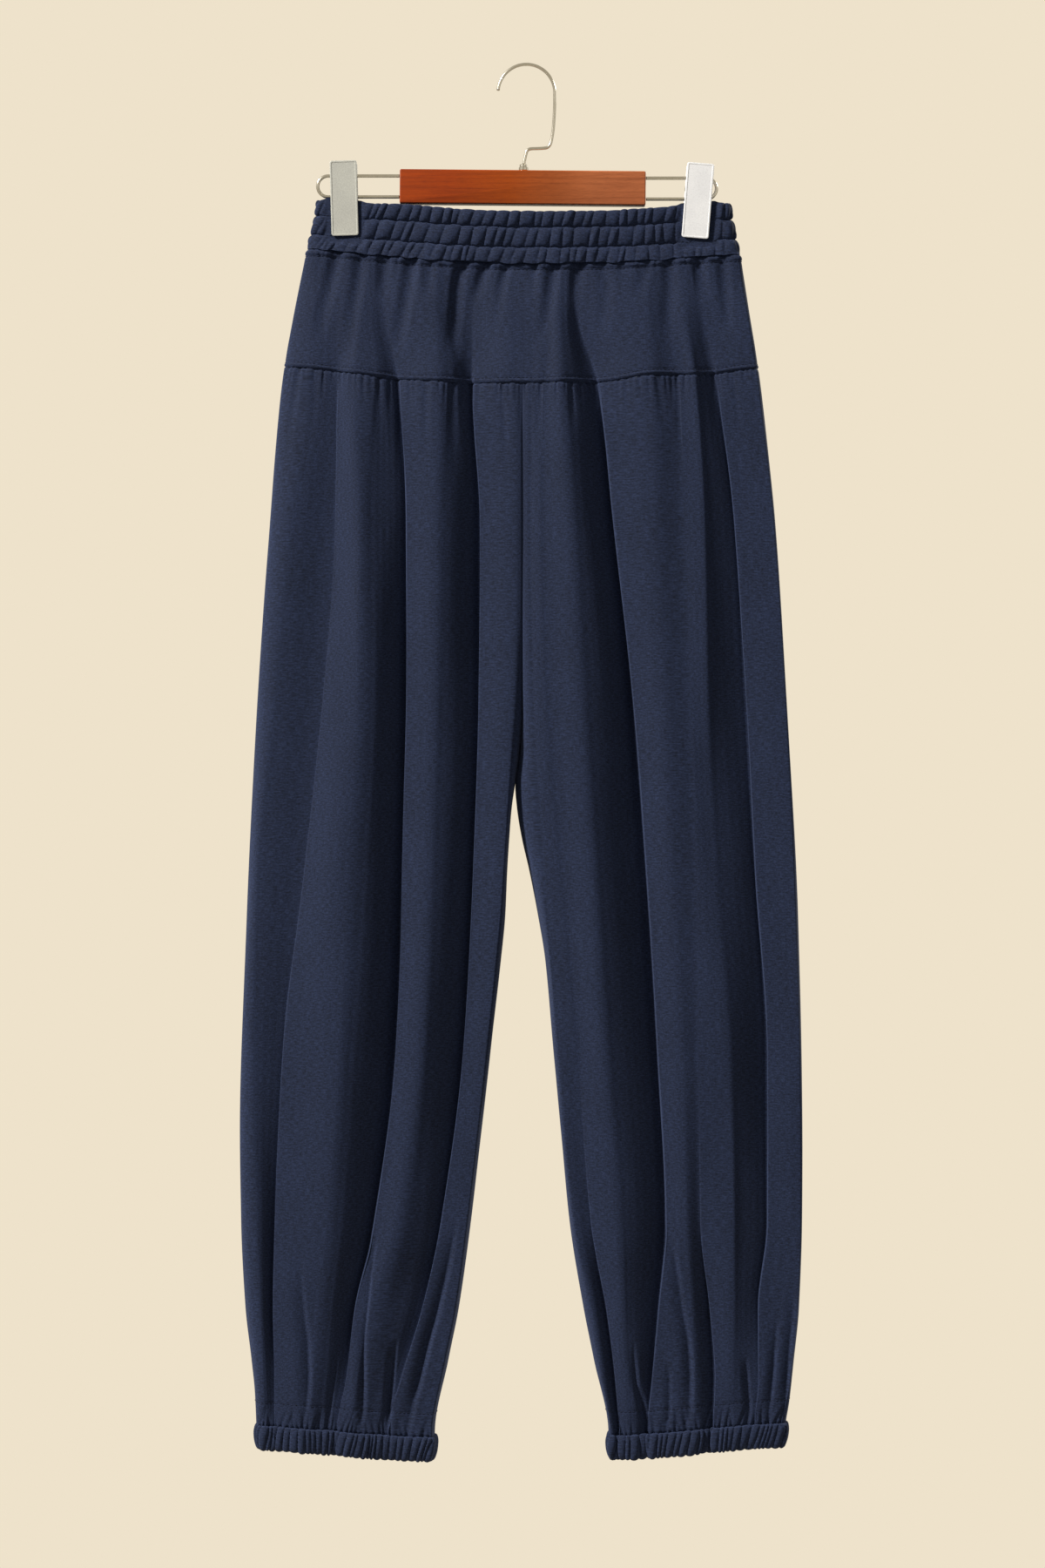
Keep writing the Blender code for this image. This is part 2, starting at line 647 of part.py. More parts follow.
# ---- hanger ------------------------------------------------------------------------------
def box(name, size, centre, tilt, bevel, corner, material):
    """A box centred at x, y and z in millimetres and tilted in its face.

    corner is the radius of the four corners seen from the front, bevel that of its edges.
    """
    bpy.ops.mesh.primitive_cube_add(size=1)
    item = bpy.context.object
    item.name = name
    item.data.name = name
    adopt(item)
    for vert in item.data.vertices:
        vert.co = [along * length * MM for along, length in zip(vert.co, size)]
    work = bmesh.new()
    work.from_mesh(item.data)
    depthwise = [edge for edge in work.edges
                 if abs(edge.verts[0].co.y - edge.verts[1].co.y) > size[1] * MM / 2]
    bmesh.ops.bevel(work, geom=depthwise, offset=corner * MM, segments=3, affect="EDGES",
                    profile=0.5)
    work.to_mesh(item.data)
    work.free()
    item.location = [value * MM for value in centre]
    item.rotation_euler.y = tilt
    rounding = item.modifiers.new("Rounded edges", "BEVEL")
    rounding.width = bevel * MM
    rounding.segments = 1
    rounding.angle_limit = math.radians(60)
    wear(item, material)
    return item


def wire(name, points, radius, material):
    """A round wire along x, y and z points in millimetres."""
    curve = bpy.data.curves.new(name, "CURVE")
    curve.dimensions = "3D"
    curve.bevel_depth = radius * MM
    curve.bevel_resolution = 2
    curve.use_fill_caps = True
    line = curve.splines.new("POLY")
    line.points.add(len(points) - 1)
    for point, place in zip(line.points, points):
        point.co = (*[value * MM for value in place], 1.0)
    item = new_object(name, curve)
    wear(item, material)
    return item


def make_rail(name, rail, outwards):
    """Two level rails out of the bar's end, joined by a half round."""
    bend = RAIL_SPACING / 2
    bar_end = BAR_CENTRE[0] + outwards * (BAR_SIZE[0] / 2 + RAIL_TUCK)
    bend_x = rail["outer_x"] - outwards * bend
    middle_z = -rail["upper_drop"] - bend
    points = [(bar_end, 0, middle_z + bend)]
    for turn in np.linspace(math.pi / 2, -math.pi / 2, RAIL_BEND_STEPS + 1):
        points.append((bend_x + outwards * bend * math.cos(turn), 0,
                       middle_z + bend * math.sin(turn)))
    points.append((bar_end, 0, middle_z - bend))
    wire(name, points, RAIL_RADIUS, steel)


def make_hook():
    """The open hook and its swan neck, one wire."""
    centre_drop = HOOK_RADIUS - HOOK_WIRE
    points = []
    for degrees in np.linspace(HOOK_SPAN[0], HOOK_SPAN[1], HOOK_POINTS):
        turn = math.radians(degrees)
        points.append((HOOK_RADIUS * math.cos(turn), 0,
                       HOOK_RADIUS * math.sin(turn) - centre_drop))
    points += [(x, 0, -drop) for x, drop in SHANK]
    wire("hook", points, HOOK_WIRE, steel)


def make_ferrule():
    """A turned ferrule between the bar's top and the end of the neck."""
    bar_top = -BAR_CENTRE[2] - BAR_SIZE[2] / 2
    bottom = bar_top - SEAM_GAP
    half = (bottom - FERRULE_TOP) / 2
    profile = ((0.0, half), (FERRULE_RADIUS * FERRULE_NECK, half),
               (FERRULE_RADIUS, half * FERRULE_SHOULDER),
               (FERRULE_RADIUS, -half), (0.0, -half))
    mesh = bpy.data.meshes.new("ferrule")
    verts = [(radius * MM, 0, height * MM) for radius, height in profile]
    mesh.from_pydata(verts, [(i, i + 1) for i in range(len(verts) - 1)], [])
    item = new_object("ferrule", mesh)
    item.location = (FERRULE_X * MM, 0, -(FERRULE_TOP + half) * MM)
    turned = item.modifiers.new("Turned", "SCREW")
    turned.steps = TURNED_SIDES
    turned.render_steps = TURNED_SIDES
    turned.use_merge_vertices = True
    turned.merge_threshold = 0.00001
    wear(item, steel)


def make_clip(side, clip, rail):
    """Two flat jaws either side of the band, and the sleeve on the rail that they turn on."""
    x, z = clip["centre"]
    plate_y = CLIP_INNER_FACE + CLIP_PLATE[1] / 2
    for face, way in (("front", -1), ("back", 1)):
        box(f"clip_{side}_{face}", CLIP_PLATE, (x, way * plate_y, z), clip["tilt"],
            CLIP_BEVEL, CLIP_CORNER, satin)
    turn = np.linspace(0, 2 * math.pi, TURNED_SIDES, endpoint=False)
    rings = []
    for end, radius in ((-0.5, BARREL_RADIUS), (0.5, BARREL_RADIUS),
                        (0.5, BARREL_BORE), (-0.5, BARREL_BORE)):
        ring = np.stack((np.full(TURNED_SIDES, x + end * BARREL_LENGTH), radius * np.cos(turn),
                         rail["upper_drop"] + radius * np.sin(turn)), axis=-1)
        rings.append(ring)
    item = ring_wall(f"clip_{side}_barrel", np.array(rings))
    wear(item, steel)


# ---- build -------------------------------------------------------------------------------
for leftover in list(bpy.data.objects):
    bpy.data.objects.remove(leftover, do_unlink=True)

parts = bpy.data.collections.new("gathered_jogger_trousers")
bpy.context.scene.collection.children.link(parts)

knit = make_material("navy_knit", (0.022, 0.034, 0.078), 0.9)
wood = make_material("varnished_wood", (0.30, 0.055, 0.018), 0.35)
steel = make_material("plated_wire", (0.62, 0.61, 0.58), 0.25, 1.0)
satin = make_material("satin_plate", (0.62, 0.63, 0.60), 0.4, 1.0)

make_waistband()
wear(make_yoke("front_yoke", PANELS["front_left"], PANELS["front_right"]), knit)
wear(make_yoke("back_yoke", PANELS["back_left"], PANELS["back_right"]), knit)
for panel_name, hem_line in (("front_left", HEM_LEFT), ("front_right", HEM_RIGHT),
                             ("back_left", HEM_LEFT), ("back_right", HEM_RIGHT)):
    face_name, side_name = panel_name.split("_")
    leg_name = f"{face_name}_leg_{side_name}"
    wear(make_leg(leg_name, PANELS[panel_name], hem_line), knit)
make_cuff("cuff_left", ((PANELS["front_left"], False),), ((PANELS["back_left"], False),),
          HEM_LEFT)
make_cuff("cuff_right", ((PANELS["front_right"], True),), ((PANELS["back_right"], True),),
          HEM_RIGHT)

box("hanger_bar", BAR_SIZE, BAR_CENTRE, HANGER_TILT, BAR_BEVEL, BAR_CORNER, wood)
make_rail("rail_left", RAIL_LEFT, -1)
make_rail("rail_right", RAIL_RIGHT, 1)
make_hook()
make_ferrule()
make_clip("left", CLIP_LEFT, RAIL_LEFT)
make_clip("right", CLIP_RIGHT, RAIL_RIGHT)
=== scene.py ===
"""Gathered jogger trousers of navy knit, hung by two flat clips from a wooden bar hanger.

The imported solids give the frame: X to the viewer's right, Y away, Z up, with the origin where
the hook hangs.  The cloth's tables are in millimetres, a "drop" is a distance below the origin,
and MM turns them to metres where a mesh is made.  "Left" is the viewer's left.
"""

import math

import bmesh
import bpy
import numpy as np
from mathutils import Matrix, Vector


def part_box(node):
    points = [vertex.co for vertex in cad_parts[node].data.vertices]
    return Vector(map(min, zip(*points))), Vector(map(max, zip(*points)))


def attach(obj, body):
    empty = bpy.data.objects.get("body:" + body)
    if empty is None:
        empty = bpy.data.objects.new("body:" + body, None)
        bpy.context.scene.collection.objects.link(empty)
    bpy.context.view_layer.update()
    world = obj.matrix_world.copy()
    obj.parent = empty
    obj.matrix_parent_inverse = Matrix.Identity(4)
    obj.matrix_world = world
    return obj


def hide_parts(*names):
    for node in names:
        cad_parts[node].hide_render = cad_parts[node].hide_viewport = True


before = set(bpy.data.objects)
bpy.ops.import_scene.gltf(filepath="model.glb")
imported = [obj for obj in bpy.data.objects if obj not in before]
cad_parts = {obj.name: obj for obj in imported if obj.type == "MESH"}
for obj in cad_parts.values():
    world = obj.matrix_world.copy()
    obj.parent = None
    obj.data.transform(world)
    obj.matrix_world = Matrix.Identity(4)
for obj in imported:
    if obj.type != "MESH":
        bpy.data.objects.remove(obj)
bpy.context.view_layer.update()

bl_info = {
    "name": "Gathered Jogger Trousers",
    "version": (1, 0, 0),
    "blender": (4, 5, 0),
    "location": "View3D > Sidebar > Trousers",
    "description": "Knit trousers with a shirred waist, a hip yoke and elastic cuffs, on a clip hanger",
    "category": "Add Mesh",
}

MM = 0.001
BODY = "root"

# ---- the cut, in millimetres --------------------------------------------------------------
HANGER_GAP = 0.3         # from the bar to the rails and to the collar
CENTRE_X = -3.2          # centre-front and centre-back seams
FORK_DROP = 567.0        # where the two legs part

# Side seams of the trousers.          drop, left x, right x
SIDE_SEAMS = (
    (143, -179.6, 173.9),
    (160, -183.2, 177.5),
    (212, -193.3, 185.4),
    (263, -202.0, 193.3),
    (313, -207.0, 199.1),
    (378, -212.0, 205.6),
    (450, -217.4, 210.6),
    (558, -224.2, 216.4),
    (702, -231.1, 224.3),
    (882, -236.5, 227.9),
    (954, -235.8, 227.5),
    (1026, -232.2, 225.0),
    (1069, -227.2, 220.7),
    (1098, -224.3, 217.8),
    (1130, -223.2, 214.0),
)

# Centre seams down to the fork, inside-leg seams below it.   drop, left leg's x, right leg's x
INNER_EDGES = (
    (143, CENTRE_X, CENTRE_X),
    (530, CENTRE_X, CENTRE_X),
    (FORK_DROP, -5.2, -5.2),
    (594, -9.3, -9.3),
    (615, -12.3, -7.6),
    (637, -14.0, -4.0),
    (666, -15.8, 2.6),
    (702, -17.4, 9.6),
    (738, -20.9, 15.5),
    (810, -29.2, 22.0),
    (882, -37.4, 28.8),
    (954, -45.7, 35.6),
    (1026, -55.8, 47.2),
    (1069, -64.4, 55.8),
    (1130, -75.6, 67.8),
)

# How far the centre seams stand from the mid-plane, curving in to the fork.    drop, depth
CENTRE_DEPTHS = (
    (143, 11.0),
    (263, 19.0),
    (340, 20.0),
    (440, 20.0),
    (505, 17.0),
    (540, 11.0),
    (558, 5.0),
    (FORK_DROP, 0.0),
    (1130, 0.0),
)

# Seams that run across the cloth.     x, drop
WAIST_SEAM = (
    (-184, 151.5),
    (-140, 155.0),
    (-70, 161.0),
    (0, 163.8),
    (70, 163.0),
    (140, 158.0),
    (180, 156.0),
)
YOKE_SEAM = (
    (-204, 249.5),
    (-157, 254.0),
    (-110, 260.0),
    (-60, 263.0),
    (-12, 264.0),
    (60, 263.0),
    (106, 257.5),
    (140, 257.0),
    (194, 251.5),
)
HEM_LEFT = ((-224, 1121.5), (-75, 1130.5))
HEM_RIGHT = ((67, 1129.0), (215, 1119.5))

# Each fold line, from the side seam inwards: its x and how far it stands from the mid-plane,
# both at these drops.  A "valley" is a sharp crease with a second row of depths, for the brow
# of the fold that stands over it; a "lee" is where the far side of a crest turns steep.
# The x of the front's lines was read off the photo by eye, in pixels, and that of the back's
# was set as shares of the panel; a scratch script outside this file turned both into mm.
FRONT_DROPS = (163, 210, 263, 378, 522, 666, 810, 954, 1026, 1083, 1128)
BACK_DROPS = (163, 263, 594, 882, 990, 1066, 1128)
FRONT_LEFT_FOLDS = (
    ("side crest",
     (-171.5, -171.5, -176, -193.5, -206.5, -220.5, -224.5, -222, -219, -216.5, -215),
     (7, 12, 15, 19.5, 21, 21.3, 20.8, 20.3, 19, 17, 15)),
    ("valley 1",
     (-159, -157.5, -156, -157.5, -167.5, -183, -200, -207, -208.5, -207.5, -207.5),
     (7.5, 12.5, 12.5, 14, 16.2, 16, 15.3, 13, 12, 13, 13),
     (8.5, 14, 15, 14.4, 16.6, 16.6, 19, 20.2, 18.8, 16, 14)),
    ("crest 1",
     (-138.5, -140, -140, -137, -138.5, -146, -153.5, -164, -171.5, -176, -182),
     (9, 15, 21, 27.5, 30.3, 30, 29.4, 26.6, 23.2, 21.6, 20)),
    ("lee 1",
     (-130, -128, -123.5, -126.5, -126.5, -133, -143.5, -153.5, -161.5, -166, -170.5),
     (8.3, 13.3, 18.6, 24, 27, 27.2, 26.8, 24.4, 21, 19, 17.5)),
    ("valley 2",
     (-120, -117, -106, -99, -99, -102.5, -107.5, -125.5, -141.5, -148.5, -156),
     (8, 10, 10.5, 10, 9.3, 8, 6.5, 7, 9, 12, 15),
     (9, 12, 16, 19, 20, 20, 20, 19.5, 18, 17, 17)),
    ("crest 2",
     (-78, -75, -73, -75, -76.5, -80.5, -87, -107, -127, -137, -143),
     (12, 17, 22, 25, 26, 26, 26, 25, 22, 20, 19)),
    ("lee 2",
     (-66.5, -66, -62.5, -62.5, -65, -69.5, -75, -87, -101, -115.5, -124),
     (11, 14.5, 19, 21.5, 22.5, 22.5, 22, 18.5, 15.5, 15.5, 16)),
    ("valley 3",
     (-37, -45, -45, -38.5, -39, -44.5, -52, -70, -86, -103.5, -115),
     (10, 9.5, 9, 7.5, 7, 7, 7, 8.5, 10, 13, 15),
     (11, 13, 15, 17, 17, 17, 17, 16, 16, 16, 16)),
    ("inner crest",
     (-12, -11, -10.5, -10.5, -12, -19, -33, -49.5, -59.5, -71, -79),
     (12, 17, 21, 23, 23.5, 22, 20, 17, 17, 16.5, 16)),
)
FRONT_RIGHT_FOLDS = (
    ("side crest",
     (175.5, 182.5, 190.5, 203.5, 213, 220, 224.5, 225.5, 223, 217, 211.5),
     (5.5, 10.5, 13.5, 16.5, 17.5, 17.5, 17.5, 17, 16.3, 15.5, 13.5)),
    ("valley 1",
     (141, 146.5, 156, 171.5, 180.5, 188.5, 198, 198.5, 191, 191, 187),
     (7, 9.8, 10, 10.5, 10.3, 9.3, 8.3, 8.5, 10, 13, 14),
     (8, 11, 13.5, 15.5, 16, 16, 16, 16, 15.5, 15, 15)),
    ("lee 1",
     (133.5, 136.5, 143.5, 151.5, 155, 164, 174, 176, 175.5, 175.5, 174),
     (8.5, 12.5, 17, 21.5, 21.5, 21.5, 20, 19, 17, 16, 16)),
    ("crest 1",
     (128, 130.5, 138, 145, 147, 152.5, 164, 169.5, 169.5, 168, 168),
     (9, 14, 20.5, 25.3, 25.3, 25.3, 24, 22.2, 18.8, 17.2, 16.6)),
    ("valley 4",
     (116.5, 119, 125, 130, 135, 139.5, 141, 143, 151, 155, 153.5),
     (9, 13, 18.7, 24.4, 25.8, 26.3, 25.5, 19, 9.5, 8.5, 11),
     (9, 13, 18.7, 24.4, 25.8, 26.3, 25.5, 20, 16, 16, 16)),
    ("crest 2",
     (94, 97.5, 101, 105, 112, 119, 128, 130.5, 135, 137, 137),
     (11.5, 19, 25, 28.6, 29, 28.6, 27.2, 23.6, 18.9, 17.6, 17.8)),
    ("valley 2",
     (40, 42, 58, 72, 87, 98.5, 107.5, 114.5, 108.5, 103.5, 99.5),
     (10.5, 12, 11, 8.5, 8.3, 8, 7.5, 7, 7.5, 9.5, 12.5),
     (12, 15, 19, 21.5, 22.5, 22.5, 22, 20.5, 18, 16.5, 16.5)),
    ("lee 2",
     (33, 33, 38, 47, 56, 64.5, 74.5, 84, 84.5, 87, 88),
     (12.5, 17.5, 23, 27, 28, 27.5, 26, 22, 19, 18, 17)),
    ("crest 3",
     (25.5, 25.5, 27.5, 35.5, 43.5, 53, 63, 75, 79.5, 82.5, 84),
     (13, 20, 27, 31, 32, 31.5, 29.8, 24.8, 20.4, 17.8, 17.5)),
    ("valley 3",
     (15, 15, 12.5, 12.5, 17, 28.5, 41.5, 53, 66, 73, 76),
     (13, 18.5, 22.5, 26, 27.3, 26.5, 23.6, 16, 8.5, 8, 11.5),
     (13, 18.5, 22.5, 26, 27.3, 26.5, 23.6, 18, 15.8, 15.5, 16)),
    ("inner crest",
     (4.5, 4.5, 4, 3, 5.5, 13.5, 26.5, 40, 54.5, 63, 69),
     (12, 17, 21, 23, 25, 24.5, 22.3, 18.5, 17, 16, 16)),
)
BACK_LEFT_FOLDS = (
    ("side crest", (-176.5, -192, -217.5, -228.5, -226.5, -221, -216),
     (5, 13, 18, 18, 17, 16, 15)),
    ("valley 1", (-151.5, -158.5, -176, -188.5, -193.5, -195, -195),
     (5, 9, 9, 9, 11, 13, 14),
     (6, 13, 16, 16, 15, 15, 15)),
    ("crest 1", (-129.5, -130.5, -143.5, -155, -160.5, -165.5, -170),
     (7, 19, 27, 28, 25, 21, 18)),
    ("lee 1", (-119, -122.5, -135, -147, -153.5, -159, -162.5),
     (7.5, 16, 22, 22, 20, 18, 17)),
    ("valley 2", (-104.5, -102.5, -111, -123, -131.5, -139, -146.5),
     (8, 9, 8, 8, 10, 13, 15),
     (9, 14, 18, 18, 17, 16, 16)),
    ("crest 2", (-75.5, -75, -79, -95, -104, -114.5, -122.5),
     (12, 20, 27, 27, 25, 22, 18)),
    ("lee 2", (-64.5, -65, -70, -87, -96.5, -108, -116.5),
     (11.5, 17, 22, 22, 20, 18, 16)),
    ("valley 3", (-46.5, -43, -48.5, -69.5, -82, -95, -105),
     (10, 10, 9, 9, 12, 13, 14),
     (11, 14, 16, 16, 15, 15, 15)),
    ("inner crest", (-16, -15, -20.5, -49.5, -63.5, -75.5, -85.5),
     (12, 18, 21, 21, 20, 18, 16)),
)
BACK_RIGHT_FOLDS = (
    ("side crest", (170.5, 183.5, 209.5, 220, 219, 214.5, 207),
     (5, 14, 18, 18, 17, 16, 15)),
    ("valley 1", (149, 158, 175, 188, 187.5, 184.5, 182),
     (5, 9, 9, 9, 11, 13, 14),
     (5.6, 13, 16, 16, 15, 15, 15)),
    ("crest 1", (131, 134.5, 143.5, 160, 161.5, 163, 161.5),
     (6, 18, 26, 27, 24, 21, 18)),
    ("lee 1", (120, 124.5, 132, 150.5, 152.5, 154.5, 154),
     (7, 15.5, 21, 22, 20, 18, 17)),
    ("valley 2", (102, 103, 109, 128.5, 132, 136.5, 138),
     (8.5, 10, 8, 8, 10, 13, 15),
     (9.2, 15, 18, 18, 17, 16, 16)),
    ("crest 2", (76.5, 77.5, 77.5, 98.5, 104, 110, 116),
     (12, 21, 28, 27, 25, 22, 18)),
    ("lee 2", (64, 67.5, 66, 90.5, 97, 103.5, 110),
     (11.5, 17.5, 23, 22, 20, 18, 16)),
    ("valley 3", (45.5, 46, 43, 70.5, 78.5, 88.5, 97),
     (10.5, 10, 9, 9, 12, 13, 14),
     (11, 14, 16, 16, 15, 15, 15)),
    ("inner crest", (9.5, 6.5, 2.5, 40.5, 52.5, 65, 77.5),
     (12, 18, 22, 21, 20, 18, 16)),
)
BROW_STEP = 0.0018       # share of the panel from a valley to its brow
LEAST_STEP = 0.0012      # smallest share of the panel between two fold lines
SOFT_ABOVE = (235, 300)  # drops between which a valley turns from soft to sharp
SOFTEST = 0.2            # how sharp the valleys are above that
SOFT_SPREAD = 10         # how many times wider a soft brow is than a sharp one
BACK_SHIFT = 9.0         # of the back's creases from the front's, taken the other way round
BACK_WANDER = 3.0        # how far the back's folds wander to each side on their way down
SHARP_BROW = 2.5         # a brow this much higher than its valley makes a sharp crease
ROLL_RISE = 0.80         # of a soft crease, as a share of its fall
LEAN_RISE = 0.40         # width of a leaning crease's steep side beside its slow one

# Ends of the waistband.    share down the band, left x, right x
BAND_EDGES = (
    (0.0, -172.3, 167.8),
    (0.5, -175.6, 171.2),
    (1.0, -180.6, 175.4),
)
BAND_TOP = (             # x, drop, front depth, back depth; narrow where the clips pinch it
    (-172.3, 111.0, 3.8, 3.8),
    (-162.0, 110.6, 4.0, 4.0),
    (-150.5, 111.4, 4.1, 4.1),
    (-138.0, 113.2, 4.5, 4.5),
    (-97.0, 115.4, 8.0, 9.0),
    (-55.0, 119.4, 11.0, 12.5),
    (-5.0, 121.4, 12.5, 14.0),
    (60.0, 120.8, 11.0, 12.5),
    (100.0, 118.2, 8.0, 9.0),
    (127.0, 115.5, 4.4, 4.5),
    (141.5, 113.8, 4.1, 4.1),
    (155.0, 113.3, 4.0, 4.0),
    (167.8, 113.4, 3.8, 3.8),
)
BAND_CHANNELS = (        # share down where each elastic channel starts and ends, gathers round
    (0.00, 0.32, 84),
    (0.32, 0.68, 76),
    (0.68, 1.00, 86),
)
BAND_COLUMNS = 1140      # points round the waistband
BAND_ROWS = 20           # rows of points in a channel
END_ROUND = 9.0          # how far in from each end the band curves round
BAND_END = 14            # from the band's ends, where its last channel lies flat
BAND_PUFF = 3.2          # a channel's puff from its stitch line to its crest
BAND_SLANT = 0.0058      # how far a gather leans across its channel, as a share of the ring
BAND_LOOP = 2.6          # most that a gather's end hangs over the waist seam
BAND_WALL = 3.4          # from the band's middle to its plain inside
BAND_PRESSED = 0.3       # how far out its face stays under a jaw
BAND_TOP_WAVE = 0.8      # how far a ridge lifts the top edge, for each mm that it stands out
BAND_EDGE_RIDGE = 0.22   # height of a ridge at its stitch line, as a share of its crest's
BAND_BLEND = 6           # power by which the band takes the waist seam's form on its way down
BAND_WANDER = (0.0022, 9)    # of a gather, as a share of the ring, and its waves round the ring
STITCH_WAVES = ((0.30, 23), (0.24, 61), (0.16, 127))    # height, and how many round the ring
STITCH_LIFT = 0.25       # of the waistband's stitches above its face
CUFF_HEIGHT = 20.5
CUFF_PULL_IN = 0.97      # width of the cuff's lower edge against its seam
CUFF_COLUMNS = 720       # points round a cuff
CUFF_GATHERS = 68
CUFF_WALL = 2.9          # from the cuff's middle to its plain inside
CUFF_PUFF = 3.3          # a cuff's puff from its edges to its crest
CUFF_EDGE = 0.9          # how far its edges lie inside its seam
CUFF_EDGE_RIDGE = 0.4    # height of a ridge at an edge, as a share of its crest's
CUFF_LOW_WAVE = 1.7      # how far a ridge pushes the lower edge down
CUFF_TOP_WAVE = 0.9      # how far a valley draws the upper edge down
CUFF_SLANT = 0.009       # how far a gather leans down the cuff, as a share of the ring
CUFF_WANDER = (0.006, 5)     # of a gather, as a share of the ring, and its waves round the ring

# Gathers over elastic: least and most, of their widths and of their ridges' set height.
GATHER_WIDTHS = (0.55, 1.5)
BAND_RIDGES = (0.6, 1.2)
BROAD_RIDGES = (0.45, 1.25)      # two gathers wide, in the last channel
BAND_LOOPS = (0.2, 1.0)
CUFF_RIDGES = (0.7, 1.15)
MEAN_RIDGE = 0.6         # taken off a ridge, so that the gathers don't fatten the form
# How plump a section is, where 2 is a half round.
RIDGE_FULLNESS = 1.9
BROAD_FULLNESS = 2.1
LOOP_FULLNESS = 1.7
CHANNEL_FULLNESS = 2.2
CUFF_FULLNESS = 2.3

# Hanger.
HANGER_TILT = math.radians(0.5)
BAR_SIZE = (203.0, 13.0, 28.0)
BAR_CENTRE = (-3.0, 0.0, -101.0)
RAIL_SPACING = 17.3      # between the middles of the upper and the lower rail
RAIL_WIRE = 1.4          # radius of the wire
RAIL_LEFT = {"outer_x": -172.5, "upper_drop": 91.0}
RAIL_RIGHT = {"outer_x": 157.2, "upper_drop": 92.8}
HOOK_WIRE = 1.3          # radius of the wire
HOOK_RADIUS = 23.4       # to the middle of the wire
HOOK_SPAN = (176.0, -3.0)    # degrees from its tip to its shank
SHANK = (                # x, drop
    (23.4, 30.0), (22.6, 48.0), (21.0, 60.0), (19.6, 65.0), (16.4, 67.8),
    (10.0, 68.3), (3.6, 68.5), (0.6, 70.2), (-0.6, 74.0), (-2.1, 80.9),
)
FERRULE_TOP = 81.2       # drop of its top
FERRULE_RADIUS = 4.0
FERRULE_X = -2.3
CLIP_PLATE = (22.3, 1.2, 62.0)
CLIP_INNER_FACE = 5.7    # from the mid-plane to a jaw's inner face
CLIP_LEFT = {"centre": (-150.4, -110.2), "tilt": math.radians(-1.6)}
CLIP_RIGHT = {"centre": (141.6, -112.2), "tilt": math.radians(4.6)}
CLIP_REACH = 14.0        # half the width of band that a jaw flattens
CLIP_EASE = 5.0          # over which the band recovers beside a jaw
BAND_HELD = 0.76         # share down the band as far as which a jaw holds it
BAND_FREE = 0.84         # share down the band where it is full again
BARREL_RADIUS = 4.9      # outside of a clip's coil spring
SPRING_WIRE = 0.65       # radius of the wire
SPRING_TURNS = 11
SPRING_STEPS = 20        # points for one turn of the coil
RIM_WIDTH = 0.9          # round a clip's pressed panel
RIM_STEP = 0.25          # how deep the panel is pressed, and how wide its slope is

# Yokes and legs.
YOKE_TOPSTITCH = 4.3     # above the yoke seam
WAIST_TOPSTITCH = 6.0    # below the waist seam
HEM_TOPSTITCH = 20.0     # above the cuff seam
HEM_TUCK = 1.4           # of a leg's lower edge into its cuff
YOKE_COLUMNS = 210       # points across half a yoke, before those past its last fold go
LEG_COLUMNS = 312        # points across a leg panel
EDGE_COLUMNS = 12        # over which a leg's relief fades out at each long edge
TURN_COLUMNS = 24        # at a leg's inner edge, in which it may turn back
TURN_DEPTH = 4.0         # a turn this deep faces fully aside
# Drops at which the columns of points are about even round the cloth.
YOKE_LEVELS = (170, 215, 255)
LEG_LEVELS = (300, 700, 1000)
# Rows of points down a panel: as far as this, this far apart.
YOKE_ROWS = ((9.0, 0.75), (84.0, 2.5), (96.0, 0.75))
LEG_ROWS = ((6.0, 0.8), (60.0, 2.0), (720.0, 6.5), (840.0, 2.6), (866.0, 1.0))
# Short gathers at a seam, from least to most: how far apart, half their width, their length,
# their depth, and their lean in 100 mm.
WAIST_SPAN = (-178, 172)     # x of the first and the last, along the waist seam
WAIST_GATHERS = ((4.0, 9.0), (1.6, 3.0), (7, 15), (0.5, 1.3), (-9, 9))
LEG_TOP_GATHERS = (
    ((3.6, 8.0), (1.3, 2.6), (10, 34), (0.5, 1.3), (-5, 5)),
    ((14, 30), (2.5, 4.5), (40, 95), (0.7, 1.6), (-3, 3)),
)
HEM_GATHERS = ((3.4, 6.6), (1.8, 3.0), (12, 25), (1.0, 2.4), (-30, 36))
# Slow unevenness of hanging cloth: width, length and height of its waves.
YOKE_WAVES = (60, 130, 0.35)
LEG_WAVES = (70, 330, 0.55)
YOKE_CALM = 20           # from a yoke's seams, over which its unevenness grows
LEG_CALM = 60            # from a leg's seams, over which its unevenness grows

